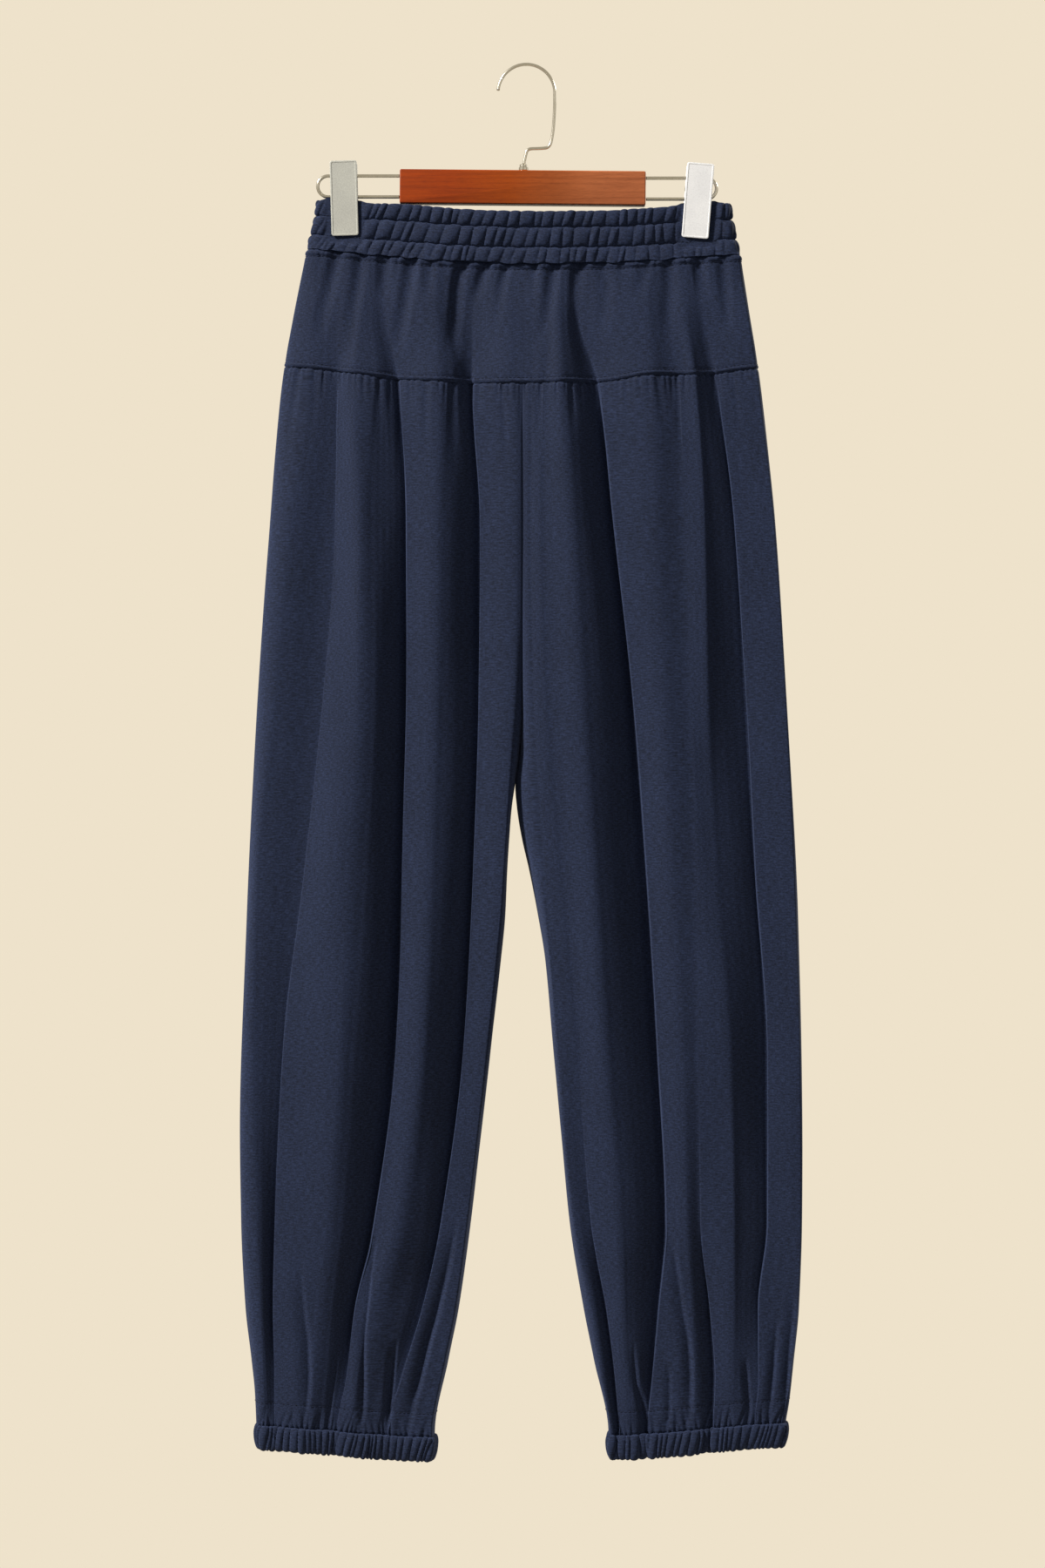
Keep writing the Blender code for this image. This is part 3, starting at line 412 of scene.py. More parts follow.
# ---- creases along their own routes -------------------------------------------------------
# Each row: the crease's route as (x, drop, depth), then how far the cloth falls towards it, in
# mm.  The cloth falls slowly on the left of a crease and rises steeply on its right.
# The routes were read off the photo by eye, in pixels; a scratch script outside this file
# turned them into mm, moved them slightly and made them wider and deeper.
YOKE_CREASES = (
    (((-156, 152, 3.2), (-161.5, 183, 2.6), (-167, 205, 1.9), (-170, 234, 0)), 9.9),
    (((-136, 152, 3.2), (-139, 183, 3), (-142.5, 205, 2.4),
      (-145.5, 234, 1.3), (-147, 252, 0)), 9.9),
    (((-116, 153, 2.9), (-117.5, 183, 1.9), (-116.5, 198, 0)), 8.8),
    (((-94.5, 159, 4.2), (-97, 183, 3.8), (-101, 205, 3.2), (-105, 230, 1.3), (-108, 244, 0)), 9.9),
    (((-78.5, 160, 2.1), (-80.5, 183, 1.8), (-80, 198, 0)), 8.8),
    (((-52.5, 162, 3.8), (-56, 183, 3.5), (-57.5, 205, 2.9), (-59, 226, 1.9), (-56, 248, 0)), 9.35),
    (((-33, 162, 3), (-38, 183, 2.2), (-41, 198, 0)), 8.8),
    (((-16, 163, 3), (-20, 183, 2.2), (-23, 205, 0.8), (-26, 226, 0)), 7.7),
    (((7, 163, 2.6), (5, 183, 1.3), (4.5, 198, 0)), 6.6),
    (((23, 163, 3.7), (21, 183, 3), (17.5, 205, 1.9), (11.5, 230, 0.48), (10, 237, 0)), 9.35),
    (((44.5, 164, 2.9), (43, 183, 1.3), (42.5, 198, 0)), 8.8),
    (((62.5, 163, 1.9), (66, 183, 1.4), (65, 205, 1.1), (60.5, 230, 0)), 9.9),
    (((79, 163, 1.6), (82, 180, 0)), 6.6),
    (((99.5, 162, 1.6), (95, 183, 1.3), (93.5, 198, 0)), 8.8),
    (((118, 160, 2.4), (119, 183, 2.1), (118, 205, 1.4), (120, 234, 0)), 9.9),
    (((143.5, 159, 2.9), (145.5, 183, 1.6), (147.5, 198, 0)), 8.8),
    (((162.5, 158, 2.4), (164, 183, 2.1), (165.5, 205, 1.4), (167, 226, 0)), 8.8),
)
HEM_FOLDS_LEFT = (
    (((-186.5, 968, 0), (-183.5, 1026, 2.2), (-180, 1055, 3.2),
      (-179.5, 1083, 3.5), (-181.5, 1108, 2), (-184.5, 1130, 1)), 10.8),
    (((-124, 957, 0), (-127.5, 982, 2), (-132, 1026, 3), (-134, 1055, 4.2),
      (-134, 1083, 5), (-134.5, 1108, 3.2), (-137, 1130, 1.2)), 9),
    (((-59, 950, 0), (-63.5, 982, 3), (-73.5, 1026, 4.8), (-81.5, 1055, 5.5),
      (-88, 1083, 5.2), (-94.5, 1108, 3.2), (-98, 1130, 1.2)), 12),
    (((-155.5, 1058, 0), (-157, 1076, 1.2), (-160, 1098, 1.6), (-162.5, 1130, 0.75)), 5.04),
    (((-107.5, 1047, 0), (-109.5, 1069, 3), (-111, 1090, 4.2),
      (-112.5, 1108, 3.2), (-115, 1130, 1.2)), 7.8),
)
HEM_FOLDS_RIGHT = (
    (((114, 950, 0), (121, 982, 2), (128, 1026, 2.8), (133, 1055, 3.5),
      (134.5, 1083, 3.5), (134, 1108, 2.2), (129.5, 1130, 1)), 10.2),
    (((206, 1026, 0), (204.5, 1055, 1.9), (202.5, 1083, 3),
      (200, 1108, 2.2), (197.5, 1130, 1)), 7.8),
    (((219.5, 1004, 0), (219, 1026, 1.2), (216.5, 1055, 2.2),
      (214.5, 1083, 3), (213, 1108, 1.8), (211.5, 1130, 0.75)), 7.8),
    (((180, 1062, 0), (182, 1083, 2.4), (183.5, 1108, 2.2), (180.5, 1130, 1)), 7.2),
    (((115, 1065, 0), (117.5, 1083, 2), (117.5, 1108, 2.2), (114, 1130, 1)), 7.2),
    (((88, 1047, 0), (90.5, 1083, 2.8), (96.5, 1105, 2.8), (100, 1130, 1.2)), 7.2),
)


# ---- curves through the tables ------------------------------------------------------------
def monotone_slopes(stations, values):
    """Slopes that keep a cubic from overshooting; the first axis runs along the table."""
    step = np.diff(stations, axis=0)
    rise = np.diff(values, axis=0) / np.maximum(step, 1e-9)
    slopes = np.zeros_like(values)
    same_way = rise[:-1] * rise[1:] > 0
    total = np.where(same_way, rise[:-1] + rise[1:], 1.0)
    slopes[1:-1] = np.where(same_way, 2 * rise[:-1] * rise[1:] / total, 0.0)
    return slopes


def cubic(share, width, start, end, slope_start, slope_end):
    """Cubic from start to end over a width, at a share of the way."""
    back = 1 - share
    return (start * back ** 2 * (1 + 2 * share) + end * share ** 2 * (3 - 2 * share)
            + width * share * back * (slope_start * back - slope_end * share))


def through(stations, values, at):
    """The smooth curve through a table, read at one place or many."""
    stations = np.asarray(stations, float)
    values = np.asarray(values, float)
    at = np.clip(at, stations[0], stations[-1])
    slopes = monotone_slopes(stations, values)
    index = np.clip(np.searchsorted(stations, at, side="right") - 1, 0, len(stations) - 2)
    width = stations[index + 1] - stations[index]
    share = (at - stations[index]) / width
    return cubic(share, width, values[index], values[index + 1], slopes[index], slopes[index + 1])


def table(rows, column, at):
    """One column of a table, read against its first column."""
    return through([row[0] for row in rows], [row[column] for row in rows], at)


def hump(reach):
    """A smooth hump: 1 at 0, and 0 from 1 on."""
    return np.clip(1 - reach * reach, 0, 1) ** 2


def pinch(reach):
    """A pleat's section: a sharp line at 0 that softens to nothing at 1."""
    return np.clip(1 - np.abs(reach), 0, 1) ** 1.6


def smooth(value):
    """An eased step: 0 up to 0, and 1 from 1 on."""
    value = np.clip(value, 0, 1)
    return value * value * (3 - 2 * value)


def rolling(reach):
    """A soft crease's section: a smooth fall up to 0 and a shorter smooth rise past it."""
    return smooth(1 - np.where(reach < 0, -reach, reach / ROLL_RISE))


def leaning(reach):
    """A crisp crease's section: a slow fall up to 0 and a steep rise just past it."""
    fall = np.clip(1 + reach, 0, 1) ** 1.6
    return np.where(reach < 0, fall, smooth(1 - reach / LEAN_RISE))


def rounded(share, fullness):
    """A puffed section: 0 at a share of 0 or 1, and 1 between them."""
    return (1 - np.abs(2 * np.clip(share, 0, 1) - 1) ** fullness) ** (1 / fullness)


# ---- the trousers' form -------------------------------------------------------------------
def fold_columns(folds, per_fold, at_ends):
    """Places along the fold lines: whole numbers are the lines themselves."""
    last = len(folds) + 1
    start = np.linspace(0, 1, at_ends + 1)
    middle = np.linspace(1, last - 1, (last - 2) * per_fold + 1)
    end = np.linspace(last - 1, last, at_ends + 1)
    return np.concatenate((start[:-1], middle, end[1:]))


def fold_lines(folds, brow_side):
    """A panel's lines from its table: each valley is a crease with a brow just beside it."""
    lines = []
    for name, places, *outs in folds:
        pair = [(name, places, outs[0], outs[-1], 0.0)]
        if len(outs) > 1:
            pair.append((f"brow of {name}", places, outs[0], outs[1], brow_side * BROW_STEP))
        lines += pair[::brow_side]
    return lines


PANELS = {
    "front_left": {"side": 1, "face": -1, "drops": FRONT_DROPS, "hem": HEM_LEFT,
                   "folds": fold_lines(FRONT_LEFT_FOLDS, 1)},
    "front_right": {"side": 2, "face": -1, "drops": FRONT_DROPS, "hem": HEM_RIGHT,
                    "folds": fold_lines(FRONT_RIGHT_FOLDS, -1)},
    "back_left": {"side": 1, "face": 1, "drops": BACK_DROPS, "hem": HEM_LEFT,
                  "folds": fold_lines(BACK_LEFT_FOLDS, 1)},
    "back_right": {"side": 2, "face": 1, "drops": BACK_DROPS, "hem": HEM_RIGHT,
                   "folds": fold_lines(BACK_RIGHT_FOLDS, 1)},
}


def form(panel, along, drop):
    """x and y of the cloth's face, at a place along the fold lines and a drop."""
    folds = panel["folds"]
    along, drop = np.broadcast_arrays(np.asarray(along, float), np.asarray(drop, float))
    edge = table(CENTRE_DEPTHS, 1, drop)
    side_x = table(SIDE_SEAMS, panel["side"], drop)
    inner_x = table(INNER_EDGES, panel["side"], drop)
    start, end = SOFT_ABOVE
    sharp = SOFTEST + (1 - SOFTEST) * smooth((drop - start) / (end - start))
    spread = 1 + SOFT_SPREAD * (1 - sharp)
    shares = [np.zeros(drop.shape)]
    depths = [np.zeros(drop.shape)]
    crisp = [None]
    for name, places, foot, brow, aside in folds:
        place_x = through(panel["drops"], places, drop)
        if panel["face"] > 0:
            place_x = place_x + BACK_WANDER * np.sin(drop / 120 + 2 * places[0] / 25)
        share = (place_x - side_x) / (inner_x - side_x)
        shares.append(np.maximum(share + aside * spread, shares[-1] + LEAST_STEP))
        low = through(panel["drops"], foot, drop)
        rise = through(panel["drops"], brow, drop) - low
        depths.append(low + sharp * rise if aside else low)
        crisp.append(sharp * np.clip(rise / SHARP_BROW, 0, 1))
    shares = np.array(shares + [np.ones(drop.shape)])
    depths = np.array(depths + [edge])
    last = len(folds) + 1
    for line in range(last - 1, 0, -1):
        shares[line] = np.minimum(shares[line], shares[line + 1] - LEAST_STEP)
    before = monotone_slopes(shares, depths)
    after = before.copy()
    secants = np.diff(depths, axis=0) / np.diff(shares, axis=0)
    for line, (name, *_) in enumerate(folds, start=1):
        if "valley" in name:
            before[line] += crisp[line] * (secants[line - 1] - before[line])
            after[line] += crisp[line] * (secants[line] - after[line])
    index = np.clip(np.floor(along).astype(int), 0, last - 1)[None]
    part = along - index[0]

    def at(values, offset):
        return np.take_along_axis(values, index + offset, axis=0)[0]

    width = at(shares, 1) - at(shares, 0)
    share = at(shares, 0) + part * width
    depth = cubic(part, width, at(depths, 0), at(depths, 1), at(after, 0), at(before, 1))
    turn = part * math.pi / 2
    outer = index[0] == 0
    share = np.where(outer, shares[1] * (1 - np.cos(turn)), share)
    depth = np.where(outer, depths[1] * np.sin(turn), depth)
    turn = (1 - part) * math.pi / 2
    inner = index[0] == last - 1
    share = np.where(inner, 1 - (1 - shares[-2]) * (1 - np.cos(turn)), share)
    depth = np.where(inner, edge + (depths[-2] - edge) * np.sin(turn), depth)
    x = side_x + share * (inner_x - side_x)
    return x, panel["face"] * depth


def travel_along(points):
    """How far along a row of points each one lies."""
    return np.concatenate(([0], np.cumsum(np.linalg.norm(np.diff(points, axis=0), axis=-1))))


def even_columns(panel, count, drops):
    """Places along the fold lines that are about even round the cloth at these drops."""
    fine = fold_columns(panel["folds"], 40, 40)
    travel = np.zeros(len(fine))
    for drop in drops:
        level = travel_along(np.stack(form(panel, fine, drop), axis=-1))
        travel += level / level[-1]
    travel += 0.15 * len(drops) * fine / fine[-1]
    return np.interp(np.linspace(0, travel[-1], count), travel, fine)


def drop_on_seam(panel, along, seam):
    """The drop at which each column meets a seam that runs across the cloth."""
    drop = np.full(np.shape(along), seam[len(seam) // 2][1], float)
    for _ in range(4):
        drop = table(seam, 1, form(panel, along, drop)[0])
    return drop


def row_shares(zones):
    """Shares down a panel for rows with these spacings: (up to this distance, spacing)."""
    places = [0.0]
    for end, spacing in zones:
        while places[-1] < end - spacing / 2:
            places.append(min(places[-1] + spacing, end))
    return np.array(places) / zones[-1][0]


def panel_face(panel, along, shares_down, top_seam, bottom_seam, tuck=0.0):
    """x, y and drop of a panel's outer face, one row for each share of the way down."""
    top = drop_on_seam(panel, along, top_seam)
    bottom = drop_on_seam(panel, along, bottom_seam) + tuck
    down = np.asarray(shares_down)[:, None]
    drop = top + down * (bottom - top)
    x, y = form(panel, np.broadcast_to(along, drop.shape), drop)
    return np.stack((x, y, drop), axis=-1)


def outward(face, side):
    """Level unit normals of a panel's face, pointing away from the wearer."""
    along = np.gradient(face[..., :2], axis=1)
    normal = np.stack((along[..., 1], -along[..., 0]), axis=-1)
    normal *= np.sign(side * np.sum(normal[..., 1:], axis=-1, keepdims=True) + 1e-12)
    return normal / np.maximum(np.linalg.norm(normal, axis=-1, keepdims=True), 1e-9)


def creases(across, down, rows, section=hump):
    """Troughs and ridges that start at a seam, in mm out of the cloth."""
    total = np.zeros(np.broadcast(across, down).shape)
    for place, lean, half_width, length, height in rows:
        left = np.clip(1 - down / length, 0, 1)
        reach = (across - place - lean * down / 100) / (half_width * (1.7 - 0.7 * left))
        total += height * left ** 1.2 * section(reach)
    return total


def routed_creases(face, rows, section, side):
    """Creases along their own routes, in mm out of the cloth; on the back the other way round."""
    across = face[..., 0] if side < 0 else 2 * CENTRE_X + BACK_SHIFT - face[..., 0]
    total = np.zeros(across.shape)
    for route, width in rows:
        x, drops, depths = zip(*route)
        depth = through(drops, depths, face[..., 2])
        total -= depth * section((across - through(drops, x, face[..., 2])) / width)
    return total


def short_gathers(rng, start, end, spacing, half_width, length, depth, lean):
    """Rows of uneven short gathers from one place to another; each range is (least, most)."""
    rows = []
    place = start + rng.uniform(*spacing) / 2
    while place < end:
        rows.append((place, rng.uniform(*lean), rng.uniform(*half_width), rng.uniform(*length),
                     -rng.uniform(*depth)))
        place += rng.uniform(*spacing)
    return rows


def unevenness(across, down, seed, width, length, height, waves=8):
    """The slow unevenness of hanging cloth: crossing waves of seeded width, length and phase."""
    rng = np.random.default_rng(seed)
    total = 0
    for _ in range(waves):
        turns = across / (width * rng.uniform(0.6, 1.8)) * rng.choice((-1, 1))
        turns = turns + down / (length * rng.uniform(0.6, 1.8)) + rng.uniform(0, 1)
        total = total + np.sin(2 * math.pi * turns)
    return height * total / math.sqrt(waves)


# ---- meshes -------------------------------------------------------------------------------
def to_world(points):
    """x, y and drop in millimetres to world metres."""
    world = np.array(points, float) * MM
    world[..., 2] *= -1
    return world


def quads(index):
    """Faces between neighbouring points of a grid of point numbers."""
    corners = (index[:-1, :-1], index[:-1, 1:], index[1:, 1:], index[1:, :-1])
    return np.stack(corners, axis=-1).reshape(-1, 4)


def finished(work, name, sharp):
    """A work mesh as a mesh of its own, smooth but for edges sharper than this in degrees."""
    mesh = bpy.data.meshes.new(name)
    work.to_mesh(mesh)
    work.free()
    mesh.shade_smooth()
    mesh.set_sharp_from_angle(angle=math.radians(sharp))
    return mesh


def applied(guide):
    """The plain mesh that an object's curve or nodes make; the object itself goes."""
    bpy.context.scene.collection.objects.link(guide)
    evaluated = guide.evaluated_get(bpy.context.evaluated_depsgraph_get())
    mesh = bpy.data.meshes.new_from_object(evaluated)
    guide.modifiers.clear()
    bpy.data.objects.remove(guide)
    return mesh


def cloth_mesh(name, points, faces, uv, sharp):
    """A closed cloth mesh with faces out, a UV map in metres of cloth, and smooth shading."""
    mesh = bpy.data.meshes.new(name)
    mesh.from_pydata(points.tolist(), [], faces)
    work = bmesh.new()
    work.from_mesh(mesh)
    bmesh.ops.recalc_face_normals(work, faces=work.faces)
    work.to_mesh(mesh)
    work.free()
    layer = mesh.uv_layers.new(name="cloth")
    corner = np.empty(len(mesh.loops), int)
    mesh.loops.foreach_get("vertex_index", corner)
    layer.uv.foreach_set("vector", uv(mesh, corner).astype(np.float32).ravel())
    mesh.shade_smooth()
    mesh.set_sharp_from_angle(angle=math.radians(sharp))
    return mesh


def border(outer, inner, rows, columns):
    """Faces that close the edge between an outer grid and a coarser one inside it."""
    faces = []
    walks = (
        (outer[0], inner[0], columns),
        (outer[-1], inner[-1], columns),
        (outer[:, 0], inner[:, 0], rows),
        (outer[:, -1], inner[:, -1], rows),
    )
    for edge, inside, picks in walks:
        for step, (start, end) in enumerate(zip(picks[:-1], picks[1:])):
            for point in range(start, end):
                faces.append((int(inside[step]), int(edge[point]), int(edge[point + 1])))
            faces.append((int(inside[step]), int(edge[end]), int(inside[step + 1])))
    return faces


def every(count, step):
    """Every so many-th number below count, with the last one."""
    picks = list(range(0, count, step))
    if picks[-1] != count - 1:
        picks.append(count - 1)
    return picks


def panel_shell(name, face, inside, across, sharp=60.0, step=4):
    """A thin closed shell: a fine outer face and a plainer inside of every fourth point."""
    rows, columns = face.shape[:2]
    pick_rows, pick_columns = every(rows, step), every(columns, step)
    outer = np.arange(rows * columns).reshape(rows, columns)
    inner = np.arange(len(pick_rows) * len(pick_columns)).reshape(len(pick_rows), -1)
    inner += rows * columns
    inner_points = inside[np.ix_(pick_rows, pick_columns)]
    points = to_world(np.concatenate((face.reshape(-1, 3), inner_points.reshape(-1, 3))))
    faces = quads(outer).tolist() + quads(inner)[:, ::-1].tolist()
    faces += border(outer, inner, pick_rows, pick_columns)
    flat = np.stack(np.broadcast_arrays(across, -face[..., 2]), axis=-1) * MM
    inner_flat = flat[np.ix_(pick_rows, pick_columns)]
    flat = np.concatenate((flat.reshape(-1, 2), inner_flat.reshape(-1, 2)))
    return cloth_mesh(name, points, faces, lambda mesh, corner: flat[corner], sharp)


def ring_shell(name, rings, sharp=70.0):
    """A closed ring whose section is closed too: one ring of points for each section point."""
    sections, columns = rings.shape[:2]
    index = np.arange(sections * columns).reshape(sections, columns)
    faces = quads(np.pad(index, ((0, 1), (0, 1)), mode="wrap")).tolist()
    travel = travel_along(np.concatenate((rings[0], rings[0][:1])))
    down = travel_along(rings[:, 0])

    def uv(mesh, corner):
        column = corner % columns
        last = np.repeat(np.arange(len(corner) // 4) % columns == columns - 1, 4)
        u = travel[np.where(last & (column == 0), columns, column)]
        return np.stack((u, -down[corner // columns]), axis=-1) * MM

    return cloth_mesh(name, to_world(rings.reshape(-1, 3)), faces, uv, sharp)


def place(mesh, name, material):
    """Put a finished mesh in the scene with its material."""
    mesh.name = name
    mesh.materials.clear()
    mesh.materials.append(material)
    piece = bpy.data.objects.new(name, mesh)
    bpy.context.scene.collection.objects.link(piece)
    return piece


def hand_over(mesh, name, material, node_name):
    """Put a finished piece in the scene with its material, hide the solid it stands for, and attach it
    to the body.
    """
    piece = place(mesh, name, material)
    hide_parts(node_name)
    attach(piece, BODY)
    return piece


# ---- materials ----------------------------------------------------------------------------
def linear(hex_colour):
    """An sRGB hex colour as linear light."""
    values = [int(hex_colour[i:i + 2], 16) / 255 for i in (0, 2, 4)]
    return tuple(v / 12.92 if v <= 0.04045 else ((v + 0.055) / 1.055) ** 2.4 for v in values)


def node(tree, kind, settings=None, inputs=None):
    """Add a node, with its settings and with values or links for its inputs."""
    made = tree.nodes.new(kind)
    for key, value in (settings or {}).items():
        setattr(made, key, value)
    for key, value in (inputs or {}).items():
        if isinstance(value, bpy.types.NodeSocket):
            tree.links.new(value, made.inputs[key])
        else:
            made.inputs[key].default_value = value
    return made


def ramp(tree, factor, stops):
    """A colour ramp through (position, linear colour) stops."""
    made = node(tree, "ShaderNodeValToRGB", inputs={"Fac": factor})
    elements = made.color_ramp.elements
    for element, (position, colour) in zip(elements, (stops[0], stops[-1])):
        element.position = position
        element.color = (*colour, 1)
    for position, colour in stops[1:-1]:
        elements.new(position).color = (*colour, 1)
    return made.outputs["Color"]


def scaled(colour, share):
    """A colour made darker or lighter by a share."""
    return tuple(min(share * value, 1.0) for value in colour)


def material(pattern):
    """Turn a function that adds a shader to a tree into one that gives the whole material.

    What it is called with is filled into the material's name, and each name is made once.
    """
    def wrap(build):
        def give(*words):
            name = pattern.format(*words)
            made = bpy.data.materials.get(name)
            if made is None:
                made = bpy.data.materials.new(name)
                made.use_nodes = True
                made.node_tree.nodes.clear()
                shader = build(made.node_tree, *words)
                node(made.node_tree, "ShaderNodeOutputMaterial", inputs={
                    "Surface": shader.outputs[0]})
            return made
        return give
    return wrap


@material("navy_cotton_knit")
def knit_material(tree):
    """Heavy brushed-back cotton knit, dyed navy: matt, with fine level courses and soft fuzz."""
    cloth = bpy.context.scene.trousers_cloth
    uv = node(tree, "ShaderNodeUVMap", {"uv_map": "cloth"}).outputs["UV"]
    # Courses and wales are drawn about half as fine as the real ones, so that they show.
    course, wale = cloth.course_spacing, cloth.wale_spacing
    grains = []
    for across, down, detail, roughness in ((0.28, 1.0, 2.0, 0.65), (0.9, 0.9, 3.0, 0.7)):
        loops = node(tree, "ShaderNodeMapping", inputs={
            "Vector": uv, "Scale": (across / wale, down / course, 1.0)})
        grain = node(tree, "ShaderNodeTexNoise", {"noise_dimensions": "2D"}, {
            "Vector": loops.outputs["Vector"], "Scale": 1.0, "Detail": detail,
            "Roughness": roughness})
        grains.append(grain.outputs["Fac"])
    # Faint clouds, about 45 mm across, where the dye took unevenly.
    clouds = node(tree, "ShaderNodeTexNoise", {"noise_dimensions": "2D"}, {
        "Vector": uv, "Scale": 22.0, "Detail": 3.0, "Roughness": 0.6})
    yarn = node(tree, "ShaderNodeMix", {"data_type": "FLOAT"}, {
        0: 0.5, 2: grains[0], 3: grains[1]})
    mixed = node(tree, "ShaderNodeMix", {"data_type": "FLOAT"}, {
        0: 0.08, 2: yarn.outputs[0], 3: clouds.outputs["Fac"]})
    base = tuple(cloth.colour)
    colour = ramp(tree, mixed.outputs[0], (
        (0.34, scaled(base, 0.42)), (0.5, base), (0.66, scaled(base, 1.80))))
    wales = node(tree, "ShaderNodeTexWave", {"bands_direction": "X"}, {
        "Vector": uv, "Scale": 0.05 / wale, "Distortion": 0.4, "Detail": 1.0,
        "Detail Scale": 3.0})
    height = node(tree, "ShaderNodeMix", {"data_type": "FLOAT"}, {
        0: 0.35, 2: mixed.outputs[0], 3: wales.outputs["Fac"]})
    bump = node(tree, "ShaderNodeBump", inputs={
        "Strength": 0.55, "Distance": cloth.yarn_relief, "Height": height.outputs[0]})
    return node(tree, "ShaderNodeBsdfPrincipled", inputs={
        "Base Color": colour, "Roughness": 0.9, "Diffuse Roughness": 1.0,
        "Normal": bump.outputs["Normal"], "Sheen Weight": 0.12, "Sheen Roughness": 0.45,
        "Sheen Tint": (*linear("8E9BC0"), 1), "Specular IOR Level": 0.24})


@material("navy_spun_thread")
def thread_material(tree):
    """Polyester sewing thread, navy, spun: matt, twisted and a little darker than the knit."""
    place_of = node(tree, "ShaderNodeTexCoord").outputs["Object"]
    twist = node(tree, "ShaderNodeTexWave", {"bands_direction": "DIAGONAL"}, {
        "Vector": place_of, "Scale": 0.05 / 0.0006, "Distortion": 0.5})
    colour = ramp(tree, twist.outputs["Fac"], (
        (0.0, linear("151B2B")), (1.0, linear("2C3550"))))
    bump = node(tree, "ShaderNodeBump", inputs={
        "Strength": 0.4, "Distance": 0.0001, "Height": twist.outputs["Fac"]})
    return node(tree, "ShaderNodeBsdfPrincipled", inputs={
        "Base Color": colour, "Roughness": 0.85, "Normal": bump.outputs["Normal"],
        "Specular IOR Level": 0.15, "Sheen Weight": 0.1})


@material("varnished_beech")
def wood_material(tree):
    """Beech stained red-brown under a gloss varnish: fine level grain, darker at the left."""
    hanger = bpy.context.scene.trousers_hanger
    place_of = node(tree, "ShaderNodeTexCoord").outputs["Object"]
    patterns = []
    for scale, settings in (
            ((14.0, 300.0, 420.0), {"Detail": 5.0, "Roughness": 0.62, "Distortion": 0.35}),
            ((160.0, 900.0, 1600.0), {"Detail": 2.0}),
            ((16.0, 16.0, 30.0), {"Detail": 2.0})):
        stretched = node(tree, "ShaderNodeMapping", inputs={
            "Vector": place_of, "Scale": scale})
        pattern = node(tree, "ShaderNodeTexNoise", inputs={
            "Vector": stretched.outputs["Vector"], "Scale": 1.0, **settings})
        patterns.append(pattern.outputs["Fac"])
    grain, pores, clouds = patterns
    split = node(tree, "ShaderNodeSeparateXYZ", inputs={"Vector": place_of})
    across = node(tree, "ShaderNodeMapRange", inputs={
        "Value": split.outputs["X"], "From Min": -0.105, "From Max": 0.099})
    wood = ramp(tree, across.outputs[0], (
        (0.0, linear("943600")), (0.2, linear("983800")), (0.45, linear("A84806")),
        (0.62, linear("AE5826")), (0.78, linear("C06C3E")), (1.0, linear("C87244"))))
    for strength, pattern, stops in (
            (0.75, grain, ((0.30, (0.62, 0.55, 0.50)), (0.5, (0.95, 0.95, 0.95)),
                           (0.72, (1.2, 1.22, 1.25)))),
            (0.8, clouds, ((0.3, (0.86, 0.82, 0.80)), (0.7, (1.1, 1.12, 1.12)))),
            (0.5, pores, ((0.36, (0.72, 0.70, 0.70)), (0.5, (1, 1, 1))))):
        tinted = node(tree, "ShaderNodeMix", {"data_type": "RGBA", "blend_type": "MULTIPLY"}, {
            0: strength, 6: wood, 7: ramp(tree, pattern, stops)})
        wood = tinted.outputs[2]
    bump = node(tree, "ShaderNodeBump", inputs={
        "Strength": 0.25, "Distance": 0.0003, "Height": grain})
    return node(tree, "ShaderNodeBsdfPrincipled", inputs={
        "Base Color": wood, "Roughness": 0.42, "Normal": bump.outputs["Normal"],
        "Specular IOR Level": 0.2,
        "Coat Weight": hanger.varnish, "Coat Roughness": 0.2, "Coat IOR": 1.5})


@material("nickel_plated_wire")
def wire_material(tree):
    """Nickel-plated steel wire, drawn: bright with a faint warm tone, in places duller."""
    colour = bpy.context.scene.trousers_hanger.wire_colour
    place_of = node(tree, "ShaderNodeTexCoord").outputs["Object"]
    grains = node(tree, "ShaderNodeTexNoise", inputs={
        "Vector": place_of, "Scale": 1.0 / 0.002, "Detail": 3.0, "Roughness": 0.7})
    broad = node(tree, "ShaderNodeTexNoise", inputs={
        "Vector": place_of, "Scale": 40.0, "Detail": 2.0})
    tone = ramp(tree, grains.outputs["Fac"], (
        (0.35, scaled(colour, 0.94)), (0.65, scaled(colour, 1.06))))
    dull = node(tree, "ShaderNodeMapRange", inputs={
        "Value": broad.outputs["Fac"], "From Min": 0.3, "From Max": 0.7,
        "To Min": 0.204, "To Max": 0.288})
    bump = node(tree, "ShaderNodeBump", inputs={
        "Strength": 0.5, "Distance": 0.00001, "Height": grains.outputs["Fac"]})
    return node(tree, "ShaderNodeBsdfPrincipled", inputs={
        "Base Color": tone, "Metallic": 1.0, "Roughness": dull.outputs[0],
        "Normal": bump.outputs["Normal"]})


